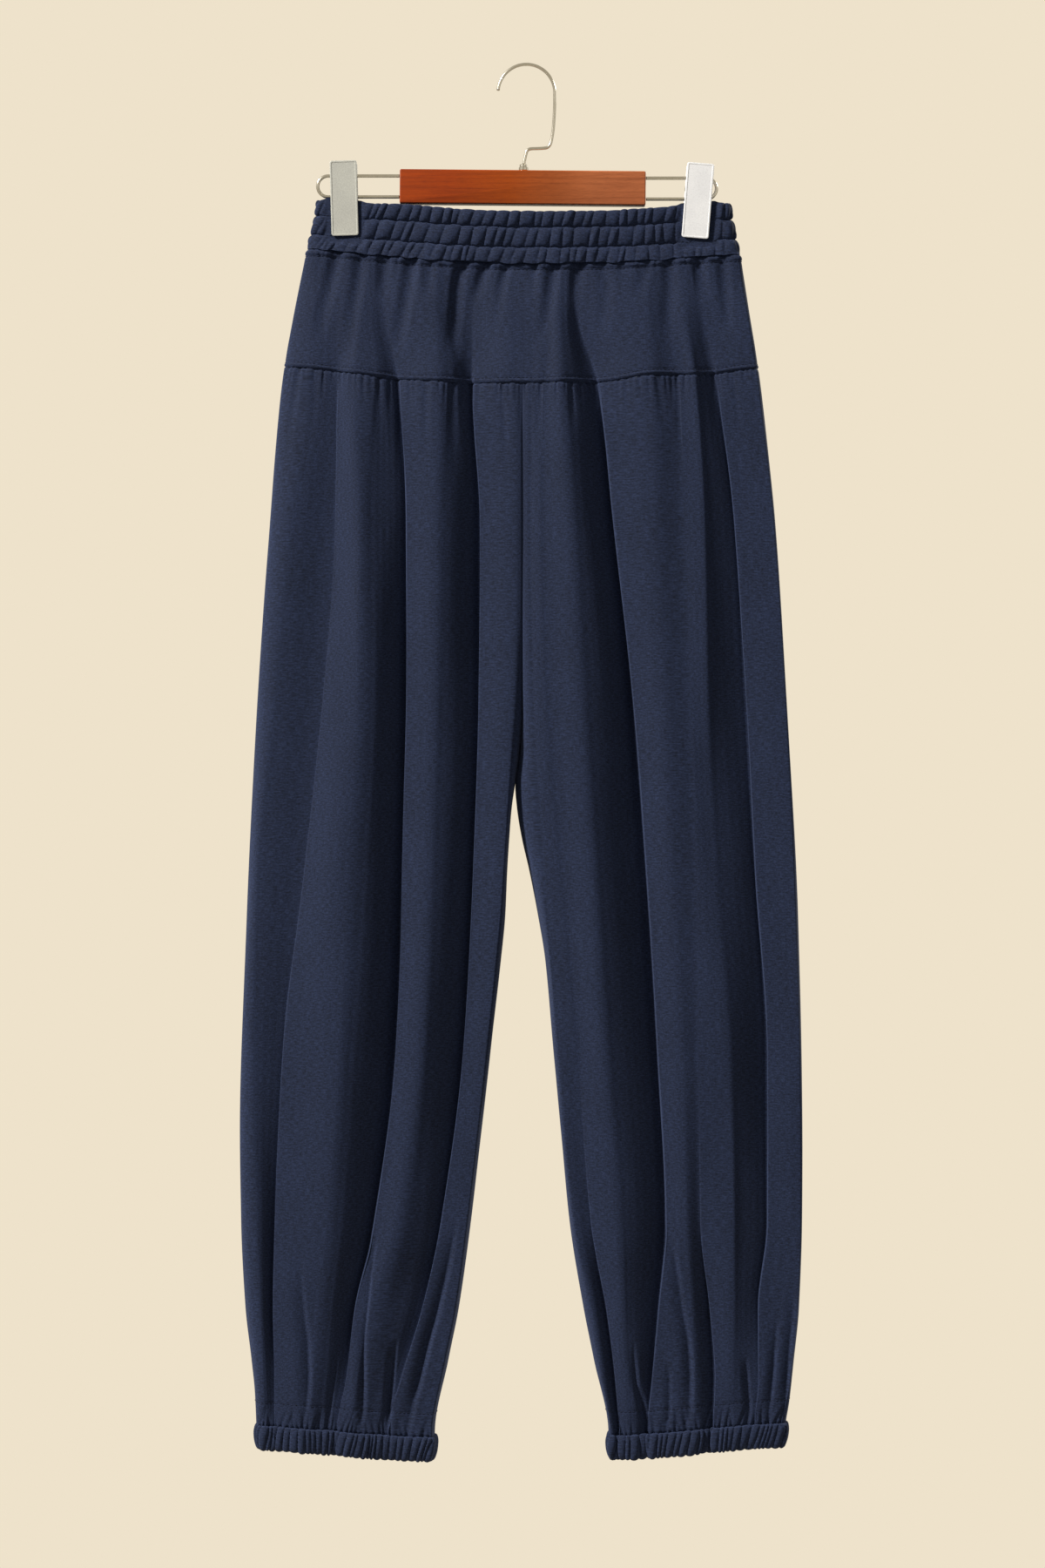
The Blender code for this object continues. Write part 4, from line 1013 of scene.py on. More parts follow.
@material("silver_lacquer_{}")
def plate_material(tree, side):
    """Steel plate sprayed with a satin silver lacquer: pale and even, with a fine sparkle; the right
    clip's paler tone is a painted highlight.
    """
    # Both clips are one lacquer; the right clip's near-white tone is a painted highlight that stands in
    # for the light its plate mirrors.
    colour = tuple(getattr(bpy.context.scene.trousers_hanger, f"{side}_clip_colour"))
    place_of = node(tree, "ShaderNodeTexCoord").outputs["Object"]
    flake = node(tree, "ShaderNodeTexNoise", inputs={
        "Vector": place_of, "Scale": 1.0 / 0.0011, "Detail": 3.0, "Roughness": 0.75})
    worn = node(tree, "ShaderNodeTexNoise", inputs={
        "Vector": place_of, "Scale": 55.0, "Detail": 3.0})
    tone = ramp(tree, flake.outputs["Fac"], (
        (0.34, scaled(colour, 0.86)), (0.5, colour), (0.68, scaled(colour, 1.16))))
    patchy = ramp(tree, worn.outputs["Fac"], (
        (0.32, (0.90, 0.90, 0.91)), (0.6, (1.0, 1.0, 1.0))))
    mixed = node(tree, "ShaderNodeMix", {"data_type": "RGBA", "blend_type": "MULTIPLY"}, {
        0: 0.8, 6: tone, 7: patchy})
    bump = node(tree, "ShaderNodeBump", inputs={
        "Strength": 0.4, "Distance": 0.00003, "Height": flake.outputs["Fac"]})
    return node(tree, "ShaderNodeBsdfPrincipled", inputs={
        "Base Color": mixed.outputs[2], "Metallic": 0.12, "Roughness": 0.42,
        "Normal": bump.outputs["Normal"], "Coat Weight": 0.25, "Coat Roughness": 0.3})


@material("matt_painted_floor")
def floor_material(tree):
    """Matt painted board: cream, with a hardly visible mottle."""
    colour = bpy.context.scene.trousers_stage.backdrop_colour
    place_of = node(tree, "ShaderNodeTexCoord").outputs["Object"]
    mottle = node(tree, "ShaderNodeTexNoise", inputs={
        "Vector": place_of, "Scale": 6.0, "Detail": 3.0})
    painted = ramp(tree, mottle.outputs["Fac"], (
        (0.3, scaled(colour, 0.66)), (0.7, scaled(colour, 0.70))))
    return node(tree, "ShaderNodeBsdfPrincipled", inputs={
        "Base Color": painted, "Roughness": 0.9, "Specular IOR Level": 0.1})


# ---- settings -----------------------------------------------------------------------------
class ClothSettings(bpy.types.PropertyGroup):
    """Sizes and colour of the knit and its gathers."""

    thickness: bpy.props.FloatProperty(
        name="Cloth thickness", description="One layer of the knit",
        default=0.0016, unit="LENGTH", subtype="DISTANCE")
    waist_gather: bpy.props.FloatProperty(
        name="Waist gather height", description="Height of the gathers over the elastic",
        default=0.0025, unit="LENGTH", subtype="DISTANCE")
    cuff_gather: bpy.props.FloatProperty(
        name="Cuff gather height", description="Height of the gathers round a cuff",
        default=0.0028, unit="LENGTH", subtype="DISTANCE")
    waist_seed: bpy.props.IntProperty(
        name="Waist seed", description="Order of the uneven waist gathers", default=11)
    leg_seed: bpy.props.IntProperty(
        name="Leg seed", description="Order of the short gathers on the legs", default=31)
    cuff_seed: bpy.props.IntProperty(
        name="Cuff seed", description="Order of the uneven cuff gathers", default=53)
    colour: bpy.props.FloatVectorProperty(
        name="Cloth colour", description="Dyed colour of the knit", size=3, subtype="COLOR",
        default=linear("28324D"), min=0.0, max=1.0)
    course_spacing: bpy.props.FloatProperty(
        name="Course spacing", description="Height of one row of loops as drawn",
        default=0.0011, unit="LENGTH", subtype="DISTANCE")
    wale_spacing: bpy.props.FloatProperty(
        name="Wale spacing", description="Width of one column of loops as drawn",
        default=0.0012, unit="LENGTH", subtype="DISTANCE")
    yarn_relief: bpy.props.FloatProperty(
        name="Yarn relief", description="How far the loops stand out of the knit",
        default=0.00022, unit="LENGTH", subtype="DISTANCE")


class StitchSettings(bpy.types.PropertyGroup):
    """Sizes of the topstitching."""

    length: bpy.props.FloatProperty(
        name="Stitch length", description="Length of thread that shows in one stitch",
        default=0.0026, unit="LENGTH", subtype="DISTANCE")
    pitch: bpy.props.FloatProperty(
        name="Stitch pitch", description="Distance from one stitch to the next",
        default=0.0034, unit="LENGTH", subtype="DISTANCE")
    thread: bpy.props.FloatProperty(
        name="Thread radius", description="Radius of the thread",
        default=0.00026, unit="LENGTH", subtype="DISTANCE")
    seed: bpy.props.IntProperty(
        name="Stitch seed", description="Order of the small unevenness of the stitches",
        default=7)


class HangerSettings(bpy.types.PropertyGroup):
    """Finish of the clip hanger."""

    varnish: bpy.props.FloatProperty(
        name="Varnish", description="How much clear gloss lies on the wood",
        default=0.35, min=0.0, max=1.0, subtype="FACTOR")
    wire_colour: bpy.props.FloatVectorProperty(
        name="Wire colour", description="Colour of the plated wire", size=3, subtype="COLOR",
        default=linear("D6D2C6"), min=0.0, max=1.0)
    # Both clips have one lacquer; the right clip's paler colour is a painted highlight in place of the
    # light that its plate mirrors.
    left_clip_colour: bpy.props.FloatVectorProperty(
        name="Left clip colour", description="Colour of the duller clip", size=3,
        subtype="COLOR", default=linear("C4C4BA"), min=0.0, max=1.0)
    right_clip_colour: bpy.props.FloatVectorProperty(
        name="Right clip colour", description="Colour of the paler clip", size=3,
        subtype="COLOR", default=linear("FFFFFF"), min=0.0, max=1.0)


class StageSettings(bpy.types.PropertyGroup):
    """Camera, light and floor."""

    lens: bpy.props.FloatProperty(
        name="Lens", description="Focal length of the camera, in millimetres", default=85.0)
    distance: bpy.props.FloatProperty(
        name="Camera distance", description="From the camera to the trousers",
        default=3.06, unit="LENGTH", subtype="DISTANCE")
    aim: bpy.props.FloatVectorProperty(
        name="Aim", description="Point that the camera looks at", size=3,
        default=(-0.0032, 0.0, -0.5935), unit="LENGTH", subtype="XYZ")
    backdrop_colour: bpy.props.FloatVectorProperty(
        name="Backdrop colour", description="Pale cream of the surroundings", size=3,
        subtype="COLOR", default=linear("EEE2CB"), min=0.0, max=1.0)
    back_power: bpy.props.FloatProperty(
        name="Back light", description="Power of the light on the hidden side", default=120.0,
        unit="POWER")
    key_power: bpy.props.FloatProperty(
        name="Key light", description="Power of the soft light from the left", default=318.0,
        unit="POWER")
    fill: bpy.props.FloatProperty(
        name="Fill", description="Strength of the even light from all round", default=0.15)


# ---- waistband ----------------------------------------------------------------------------
ROUTES = {}              # stitch lines on the finished faces, by name


def resample(ring, count):
    """A closed ring of points at even distances round it."""
    closed = np.concatenate((ring, ring[:1]))
    travel = travel_along(closed[:, :2])
    wanted = np.linspace(0, travel[-1], count, endpoint=False)
    return np.stack([np.interp(wanted, travel, closed[:, axis]) for axis in range(3)], axis=-1)


def seam_ring(front, back, seam, count):
    """The ring in which front and back panels meet a seam, left end first, front first."""
    sides = []
    for names in (front, back):
        points = []
        for name in names:
            panel = PANELS[name]
            along = fold_columns(panel["folds"], 24, 24)
            if panel["side"] == 2:
                along = along[::-1]
            drop = drop_on_seam(panel, along, seam)
            x, y = form(panel, along, drop)
            points.append(np.stack((x, y, drop), axis=-1))
        sides.append(np.concatenate(points))
    return resample(np.concatenate((sides[0], sides[1][::-1])), count)


def ring_normals(ring):
    """Level unit normals of a closed ring that runs front first, left to right."""
    along = np.roll(ring, -3, axis=0) - np.roll(ring, 3, axis=0)
    normal = np.stack((along[:, 1], -along[:, 0]), axis=-1)
    return normal / np.linalg.norm(normal, axis=1, keepdims=True)


def gather_edges(rng, count):
    """Places round a ring, from 0 to 1, of the valleys between uneven gathers."""
    widths = rng.uniform(*GATHER_WIDTHS, count)
    return np.concatenate(([0], np.cumsum(widths) / widths.sum()))


def gather_profile(around, edges, heights, fullness):
    """Plump ridges between narrow valleys: up to 1 on a ridge, 0 in a valley."""
    around = around % 1.0
    slot = np.clip(np.searchsorted(edges, around, side="right") - 1, 0, len(edges) - 2)
    part = (around - edges[slot]) / (edges[slot + 1] - edges[slot])
    return heights[slot] * rounded(part, fullness)


def slanted(around, part, slant, wander, phase):
    """Places round a ring, moved so that its gathers slant and wander on their way down."""
    size, waves = wander
    aside = slant * (0.5 - part) * np.where(around < 0.5, 1, -1)
    return around - aside + size * np.sin(2 * math.pi * waves * around + phase) * (0.5 - part)


def band_ring(share, count):
    """The waistband's ring at a share of the way down, before its puffs and gathers."""
    left = table(BAND_EDGES, 1, share)
    right = table(BAND_EDGES, 2, share)
    turn = np.linspace(0, math.pi, 240)
    spread = (1 - np.cos(turn)) / 2
    x = left + spread * (right - left)
    top_x = BAND_TOP[0][0] + spread * (BAND_TOP[-1][0] - BAND_TOP[0][0])
    from_end = np.minimum(x - left, right - x) / END_ROUND
    rounding = np.sqrt(1 - (1 - np.clip(from_end, 0, 1)) ** 2)
    top_drop = table(BAND_TOP, 1, top_x)
    drop = top_drop + share * (table(WAIST_SEAM, 1, x) - top_drop)
    front = np.stack((x, -table(BAND_TOP, 2, top_x) * rounding, drop), axis=-1)
    back = np.stack((x, table(BAND_TOP, 3, top_x) * rounding, drop), axis=-1)
    return resample(np.concatenate((front, back[-2:0:-1])), count)


def clip_flattening(ring, share):
    """1 under a jaw, where the puffs and gathers are pressed flat, and 0 away from it."""
    flat = np.zeros(len(ring))
    for clip in (CLIP_LEFT, CLIP_RIGHT):
        away = np.abs(ring[:, 0] - clip["centre"][0])
        flat = np.maximum(flat, np.clip((CLIP_REACH - away) / CLIP_EASE + 1, 0, 1))
    return flat * np.clip((BAND_FREE - share) / (BAND_FREE - BAND_HELD), 0, 1)


class Channel:
    """One run of elastic in the waistband, with its own uneven gathers."""

    def __init__(self, rng, start, end, gathers):
        self.start, self.end = start, end
        self.edges = gather_edges(rng, gathers)
        self.heights = rng.uniform(*BAND_RIDGES, gathers)
        self.broad_edges = self.edges[::2]
        self.broad_heights = rng.uniform(*BROAD_RIDGES, len(self.broad_edges) - 1)
        self.loops = rng.uniform(*BAND_LOOPS, len(self.broad_edges) - 1)
        self.phase = rng.uniform(0, 2 * math.pi, 3)

    def turned(self, around, part):
        """Places round the ring, moved as this channel's gathers run."""
        return slanted(around, part, BAND_SLANT, BAND_WANDER, self.phase[0])

    def out(self, around, part, height, last):
        """How far the face stands out at places round the ring and a part of the way down."""
        turned = self.turned(around, part)
        ridge = gather_profile(turned, self.edges, self.heights, RIDGE_FULLNESS)
        puffed = rounded(part, CHANNEL_FULLNESS)
        if last:
            broad = gather_profile(turned, self.broad_edges, self.broad_heights, BROAD_FULLNESS)
            ridge = ridge + 0.5 * (broad - ridge) * smooth((part - 0.25) / 0.45)
            if part >= 0.5:
                puffed = rounded((part + 0.1) / 1.2, CHANNEL_FULLNESS)
        shown = BAND_EDGE_RIDGE + (1 - BAND_EDGE_RIDGE) * puffed
        return BAND_PUFF * (puffed - 0.45) + height * (ridge - MEAN_RIDGE) * shown

    def loop(self, around, part):
        """How far the last channel's ridges hang over the seam, as uneven loops."""
        turned = self.turned(around, 1.0)
        hang = gather_profile(turned, self.broad_edges, self.loops, LOOP_FULLNESS)
        return BAND_LOOP * hang * np.sin(math.pi * np.clip((part - 0.62) / 0.38, 0, 1))


def stitch_wander(around, phases):
    """How a stitch line wanders up and down as its elastic draws it up, in mm."""
    return sum(height * np.sin(2 * math.pi * waves * around + phase)
               for (height, waves), phase in zip(STITCH_WAVES, phases))


def make_waistband(cloth):
    """The shirred waistband: three channels of elastic in one folded casing."""
    count = BAND_COLUMNS
    height = cloth.waist_gather / MM
    rng = np.random.default_rng(cloth.waist_seed)
    channels = [Channel(rng, *row) for row in BAND_CHANNELS]
    seam = seam_ring(("front_left", "front_right"), ("back_left", "back_right"), WAIST_SEAM,
                     count)
    around = np.arange(count) / count
    still = np.zeros(count)
    wanders = [still, *(stitch_wander(around, row.phase) for row in channels[:-1]), still]
    parts = (1 - np.cos(np.linspace(0, math.pi, BAND_ROWS))) / 2
    rings, lines = [], []
    for number, channel in enumerate(channels):
        last = number == len(channels) - 1
        for part in parts[min(number, 1):]:
            share = channel.start + part * (channel.end - channel.start)
            ring = band_ring(share, count)
            ring += (seam - ring) * share ** BAND_BLEND
            out = channel.out(around, part, height, last)
            out = out - (out - BAND_PRESSED) * clip_flattening(ring, share)
            from_end = np.minimum(ring[:, 0] - ring[:, 0].min(), ring[:, 0].max() - ring[:, 0])
            open_face = smooth(from_end / BAND_END)
            if last:
                out = out * (1 - (1 - open_face) * smooth(part))
            ring[:, :2] += ring_normals(ring) * out[:, None]
            ring[:, 2] += wanders[number] + part * (wanders[number + 1] - wanders[number])
            top = smooth(1 - share / 0.10)
            ring[:, 2] -= BAND_TOP_WAVE * top * (out - out.mean())
            if last:
                ring[:, 2] += channel.loop(around, part) * open_face
            rings.append(ring)
        lines.append(len(rings) - 1)
    for share in (1.0, 0.8, 0.6, 0.4, 0.2, 0.04):
        ring = band_ring(share, count)
        ring += (seam - ring) * share ** BAND_BLEND
        ring[:, :2] -= ring_normals(ring) * BAND_WALL
        rings.append(ring)
    return np.array(rings), lines[:2]


class TROUSERS_OT_waistband(bpy.types.Operator):
    """Make the shirred waistband"""

    bl_idname = "trousers.waistband"
    bl_label = "Waistband"

    def execute(self, context):
        rings, lines = make_waistband(context.scene.trousers_cloth)
        name = "waistband_shirred"
        piece = hand_over(ring_shell(name, rings), name, knit_material(),
                          "waistband")
        # A strip 0.88 m long and 52 mm deep, drawn up by its elastic to the waist's 0.72 m.
        for line, row in zip(("waist_upper", "waist_lower"), lines):
            route = rings[row].copy()
            route[:, :2] += ring_normals(route) * STITCH_LIFT
            ROUTES[line] = [np.concatenate((route, route[:1]))]
        return {"FINISHED"}


# ---- yokes and legs -----------------------------------------------------------------------
def seam_roll(distance, depth, width):
    """How far an edge turns in where it meets its seam."""
    return -depth * np.exp(-(distance / width) ** 2)


def stitch_groove(distance, at, depth=0.35, width=0.9):
    """The small dip that a line of topstitching pulls into the cloth."""
    return -depth * np.exp(-((distance - at) / width) ** 2)


def inner_side(face, relief, normal, thickness):
    """The plain inside of a shell: below every trough near it, one cloth away."""
    floor = relief.copy()
    for axis in (0, 1):
        deepest = floor.copy()
        for shift in range(-4, 5):
            deepest = np.minimum(deepest, np.roll(floor, shift, axis=axis))
        floor = deepest
    inside = face.copy()
    inside[..., :2] += normal * (np.minimum(floor, 0) - thickness)[..., None]
    return inside


def edge_normals(face, side, ends):
    """Outward normals, turned level at an edge that is seen from the side."""
    normal = outward(face, side)
    for column, way in zip((0, -1), ends):
        if np.ndim(way) or way:
            level = np.broadcast_to(np.asarray(way, float), face.shape[:1])
            normal[:, column, 0] = level
            normal[:, column, 1] = side * (1 - np.abs(level))
    return normal / np.maximum(np.linalg.norm(normal, axis=-1, keepdims=True), 1e-9)


def line_on(face, normal, distance, at, lift=0.22):
    """A stitch line on a face where the distance from a seam has this value."""
    points = []
    for column in range(face.shape[1]):
        order = np.argsort(distance[:, column])
        point = [np.interp(at, distance[order, column], face[order, column, axis])
                 for axis in range(3)]
        way = [np.interp(at, distance[order, column], normal[order, column, axis])
               for axis in range(2)]
        points.append((point[0] + lift * way[0], point[1] + lift * way[1], point[2]))
    return np.array(points)


def finish_panel(name, face, normal, relief, travel, lines):
    """A panel's shell with its relief raised, and its stitch lines kept for the topstitching.

    Each line has its name, how far every point lies from its seam, and its own distance.
    """
    raised = face.copy()
    raised[..., :2] += normal * relief[..., None]
    inside = inner_side(face, relief, normal, bpy.context.scene.trousers_cloth.thickness / MM)
    for line, distance, at in lines:
        ROUTES[line] = [line_on(raised, normal, distance, at)]
    return panel_shell(name, raised, inside, travel)


def make_yoke(name, cloth):
    """One hip yoke from side seam to side seam, between the waist seam and the yoke seam."""
    side = name.split("_")[0]
    halves = []
    for which in ("left", "right"):
        panel = PANELS[f"{side}_{which}"]
        along = even_columns(panel, YOKE_COLUMNS, YOKE_LEVELS)
        along = along[along <= len(panel["folds"])]
        halves.append(panel_face(panel, along, row_shares(YOKE_ROWS), WAIST_SEAM, YOKE_SEAM))
    face = np.concatenate((halves[0], halves[1][:, ::-1]), axis=1)
    normal = edge_normals(face, panel["face"], (-1, 1))
    x_top = face[:1, :, 0]
    from_top = face[..., 2] - face[:1, :, 2]
    from_seam = face[-1:, :, 2] - face[..., 2]
    rng = np.random.default_rng(cloth.waist_seed + (1 if side == "front" else 2))
    gathers = short_gathers(rng, *WAIST_SPAN, *WAIST_GATHERS)
    relief = creases(x_top, from_top, gathers, pinch)
    relief += routed_creases(face, YOKE_CREASES, rolling, panel["face"])
    relief += (seam_roll(from_top, depth=0.8, width=1.3)
               + seam_roll(from_seam, depth=1.0, width=1.2))
    broken = 0.5 + 0.5 * np.sin(x_top / 5.5 + 2 * np.sin(x_top / 17))
    groove = stitch_groove(from_top, WAIST_TOPSTITCH, depth=0.6, width=1.0)
    relief += groove * (0.2 + 0.8 * broken)
    relief += stitch_groove(from_seam, YOKE_TOPSTITCH)
    relief += 0.45 * hump((from_seam - YOKE_TOPSTITCH / 2) / 2.4)
    relief += 0.9 * hump((from_top - WAIST_TOPSTITCH * 0.55) / 3.2)
    away = smooth(from_top / YOKE_CALM) * smooth(from_seam / YOKE_CALM)
    relief += away * unevenness(face[..., 0], face[..., 2], cloth.waist_seed, *YOKE_WAVES)
    lines = ((f"{side}_waist", from_top, WAIST_TOPSTITCH),
             (f"{side}_yoke", from_seam, YOKE_TOPSTITCH))
    return finish_panel(name, face, normal, relief, travel_along(face[-1]), lines)


class TROUSERS_OT_yokes(bpy.types.Operator):
    """Make the front and the back hip yoke"""

    bl_idname = "trousers.yokes"
    bl_label = "Hip yokes"

    def execute(self, context):
        for side in ("front", "back"):
            name = f"{side}_yoke_cloth"
            mesh = make_yoke(name, context.scene.trousers_cloth)
            piece = hand_over(mesh, name, knit_material(), f"{side}_yoke")
        return {"FINISHED"}


def make_leg(name, panel_name, seed):
    """A leg panel from the yoke seam to the cuff, gathered at both ends."""
    panel = PANELS[panel_name]
    along = even_columns(panel, LEG_COLUMNS, LEG_LEVELS)
    face = panel_face(panel, along, row_shares(LEG_ROWS), YOKE_SEAM, panel["hem"], HEM_TUCK)
    to_side = -1 if panel["side"] == 1 else 1
    edge_turn = np.abs(face[:, -TURN_COLUMNS, 1] - face[:, -1, 1])
    aside = np.clip(edge_turn / TURN_DEPTH, 0, 1)
    normal = edge_normals(face, panel["face"], (to_side, -to_side * aside))
    from_top = face[..., 2] - face[:1, :, 2]
    from_hem = face[-1:, :, 2] - face[..., 2]
    rng = np.random.default_rng(seed)
    low_x, high_x = sorted((face[0, 0, 0], face[0, -1, 0]))
    tops = []
    for ranges in LEG_TOP_GATHERS:
        tops += short_gathers(rng, low_x, high_x, *ranges)
    low_x, high_x = sorted((face[-1, 0, 0], face[-1, -1, 0]))
    hems = short_gathers(rng, low_x, high_x, *HEM_GATHERS)
    relief = creases(face[:1, :, 0], from_top, tops)
    relief += creases(face[-1:, :, 0], from_hem, hems, pinch)
    shown_left = panel_name in ("front_left", "back_right")
    folds = HEM_FOLDS_LEFT if shown_left else HEM_FOLDS_RIGHT
    relief += routed_creases(face, folds, leaning, panel["face"])
    relief += (seam_roll(from_top, depth=1.0, width=1.2)
               + seam_roll(from_hem, depth=1.2, width=1.4))
    relief += stitch_groove(from_hem, HEM_TOPSTITCH)
    away = smooth(from_top / LEG_CALM) * smooth(from_hem / LEG_CALM)
    travel = travel_along(face[len(face) // 2])
    relief += away * unevenness(travel, face[..., 2], seed, *LEG_WAVES)
    column = np.arange(len(along))
    relief *= smooth(np.minimum(column, column[::-1]) / (EDGE_COLUMNS - 1))
    lines = ((f"{panel_name}_hem", from_hem, HEM_TOPSTITCH),)
    return finish_panel(name, face, normal, relief, travel, lines)


class TROUSERS_OT_legs(bpy.types.Operator):
    """Make the four leg panels"""

    bl_idname = "trousers.legs"
    bl_label = "Legs"

    def execute(self, context):
        seed = context.scene.trousers_cloth.leg_seed
        for number, panel_name in enumerate(PANELS):
            side, which = panel_name.split("_")
            name = f"{side}_leg_{which}_cloth"
            mesh = make_leg(name, panel_name, seed + number)
            piece = hand_over(mesh, name, knit_material(),
                              f"{side}_leg_{which}")
        return {"FINISHED"}


# ---- cuffs --------------------------------------------------------------------------------
def make_cuff(which, cloth, seed):
    """One band of elastic in its casing, gathered all round."""
    height = cloth.cuff_gather / MM
    rng = np.random.default_rng(seed)
    edges = gather_edges(rng, CUFF_GATHERS)
    heights = rng.uniform(*CUFF_RIDGES, CUFF_GATHERS)
    hem = HEM_LEFT if which == "left" else HEM_RIGHT
    seam = seam_ring((f"front_{which}",), (f"back_{which}",), hem, CUFF_COLUMNS)
    middle = seam[:, :2].mean(axis=0)
    around = np.arange(CUFF_COLUMNS) / CUFF_COLUMNS

    def ring_at(share):
        """The cuff's plain ring at a share of the way down."""
        ring = seam.copy()
        pull = 1 - (1 - CUFF_PULL_IN) * share
        ring[:, :2] = middle + (ring[:, :2] - middle) * pull
        ring[:, 2] += share * CUFF_HEIGHT
        return ring

    rings = []
    for share in np.linspace(0, 1, 30):
        ring = ring_at(share)
        turned = slanted(around, share, CUFF_SLANT, CUFF_WANDER, seed)
        ridge = gather_profile(turned, edges, heights, RIDGE_FULLNESS)
        puffed = rounded(share, CUFF_FULLNESS)
        shown = CUFF_EDGE_RIDGE + (1 - CUFF_EDGE_RIDGE) * puffed
        out = CUFF_PUFF * puffed - CUFF_EDGE + height * (ridge - MEAN_RIDGE) * shown
        ring[:, 2] += smooth((share - 0.7) / 0.3) * CUFF_LOW_WAVE * (ridge - MEAN_RIDGE)
        ring[:, 2] += smooth((0.2 - share) / 0.2) * CUFF_TOP_WAVE * (0.9 - ridge)
        ring[:, :2] += ring_normals(ring) * out[:, None]
        rings.append(ring)
    for share in (1.0, 0.7, 0.4, 0.06):
        ring = ring_at(share)
        ring[:, :2] -= ring_normals(ring) * CUFF_WALL
        rings.append(ring)
    return np.array(rings)


class TROUSERS_OT_cuffs(bpy.types.Operator):
    """Make the two elastic cuffs"""

    bl_idname = "trousers.cuffs"
    bl_label = "Cuffs"

    def execute(self, context):
        cloth = context.scene.trousers_cloth
        for number, which in enumerate(("left", "right")):
            rings = make_cuff(which, cloth, cloth.cuff_seed + number)
            name = f"cuff_{which}_elastic"
            piece = hand_over(ring_shell(name, rings), name, knit_material(),
                              f"cuff_{which}")
        return {"FINISHED"}


# ---- topstitching -------------------------------------------------------------------------
def stitch_tree():
    """Stitches along the edges of a mesh: thread capsules, evenly spaced, a little uneven."""
    tree = bpy.data.node_groups.new("Stitch run", "GeometryNodeTree")
    face = tree.interface
    face.new_socket("Geometry", in_out="INPUT", socket_type="NodeSocketGeometry")
    for name in ("Stitch length", "Pitch", "Thread radius"):
        face.new_socket(name, in_out="INPUT", socket_type="NodeSocketFloat")
    face.new_socket("Seed", in_out="INPUT", socket_type="NodeSocketInt")
    face.new_socket("Thread", in_out="INPUT", socket_type="NodeSocketMaterial")
    face.new_socket("Geometry", in_out="OUTPUT", socket_type="NodeSocketGeometry")
    given = node(tree, "NodeGroupInput").outputs
    line = node(tree, "GeometryNodeMeshToCurve", inputs={"Mesh": given["Geometry"]})
    spots = node(tree, "GeometryNodeCurveToPoints", {"mode": "LENGTH"}, {
        "Curve": line.outputs["Curve"], "Length": given["Pitch"]})
    ball = node(tree, "GeometryNodeMeshUVSphere", inputs={
        "Segments": 6, "Rings": 5, "Radius": 1.0})
    half = node(tree, "ShaderNodeMath", {"operation": "MULTIPLY"}, {
        0: given["Stitch length"], 1: 0.5})
    size = node(tree, "ShaderNodeCombineXYZ", inputs={
        "X": given["Thread radius"], "Y": given["Thread radius"], "Z": half.outputs[0]})
    vary = node(tree, "FunctionNodeRandomValue", {"data_type": "FLOAT_VECTOR"}, {
        0: (0.9, 0.9, 0.82), 1: (1.12, 1.12, 1.1), "Seed": given["Seed"]})
    scale = node(tree, "ShaderNodeVectorMath", {"operation": "MULTIPLY"}, {
        0: size.outputs[0], 1: vary.outputs[0]})
    copies = node(tree, "GeometryNodeInstanceOnPoints", inputs={
        "Points": spots.outputs["Points"], "Instance": ball.outputs["Mesh"],
        "Rotation": spots.outputs["Rotation"], "Scale": scale.outputs[0]})
    real = node(tree, "GeometryNodeRealizeInstances", inputs={
        "Geometry": copies.outputs["Instances"]})
    dyed = node(tree, "GeometryNodeSetMaterial", inputs={
        "Geometry": real.outputs["Geometry"], "Material": given["Thread"]})
    node(tree, "NodeGroupOutput", inputs={"Geometry": dyed.outputs["Geometry"]})
    return tree


def stitched(name, routes, stitch, tree):
    """A mesh of stitches along some routes, made by the stitch tree and applied."""
    points, edges = [], []
    for route in routes:
        start = len(points)
        points += to_world(route).tolist()
        edges += [(start + i, start + i + 1) for i in range(len(route) - 1)]
    lines = bpy.data.meshes.new(name)
    lines.from_pydata(points, edges, [])
    guide = bpy.data.objects.new(name, lines)
    run = guide.modifiers.new("Stitch run", "NODES")
    run.node_group = tree
    values = {"Stitch length": stitch.length, "Pitch": stitch.pitch,
              "Thread radius": stitch.thread, "Seed": stitch.seed, "Thread": thread_material()}
    for item in tree.interface.items_tree:
        if item.in_out == "INPUT" and item.name in values:
            run[item.identifier] = values[item.name]
    mesh = applied(guide)
    mesh.shade_smooth()
    return mesh


class TROUSERS_OT_topstitching(bpy.types.Operator):
    """Sew the lines of topstitching"""

    bl_idname = "trousers.topstitching"
    bl_label = "Topstitching"

    def execute(self, context):
        tree = stitch_tree()
        groups = {
            "waist_stitching": ("waist_upper", "waist_lower", "front_waist", "back_waist"),
            "yoke_stitching": ("front_yoke", "back_yoke"),
            "hem_stitching": [f"{panel}_hem" for panel in PANELS],
        }
        for name, lines in groups.items():
            routes = [route for line in lines for route in ROUTES[line]]
            mesh = stitched(name, routes, context.scene.trousers_stitch, tree)
            piece = place(mesh, name, thread_material())
            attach(piece, BODY)
        return {"FINISHED"}


# ---- hanger -------------------------------------------------------------------------------
def sharp_edges(work):
    """The edges of a work mesh where its faces turn by more than 60 degrees."""
    return [edge for edge in work.edges
            if len(edge.link_faces) == 2 and edge.calc_face_angle() > math.radians(60)]


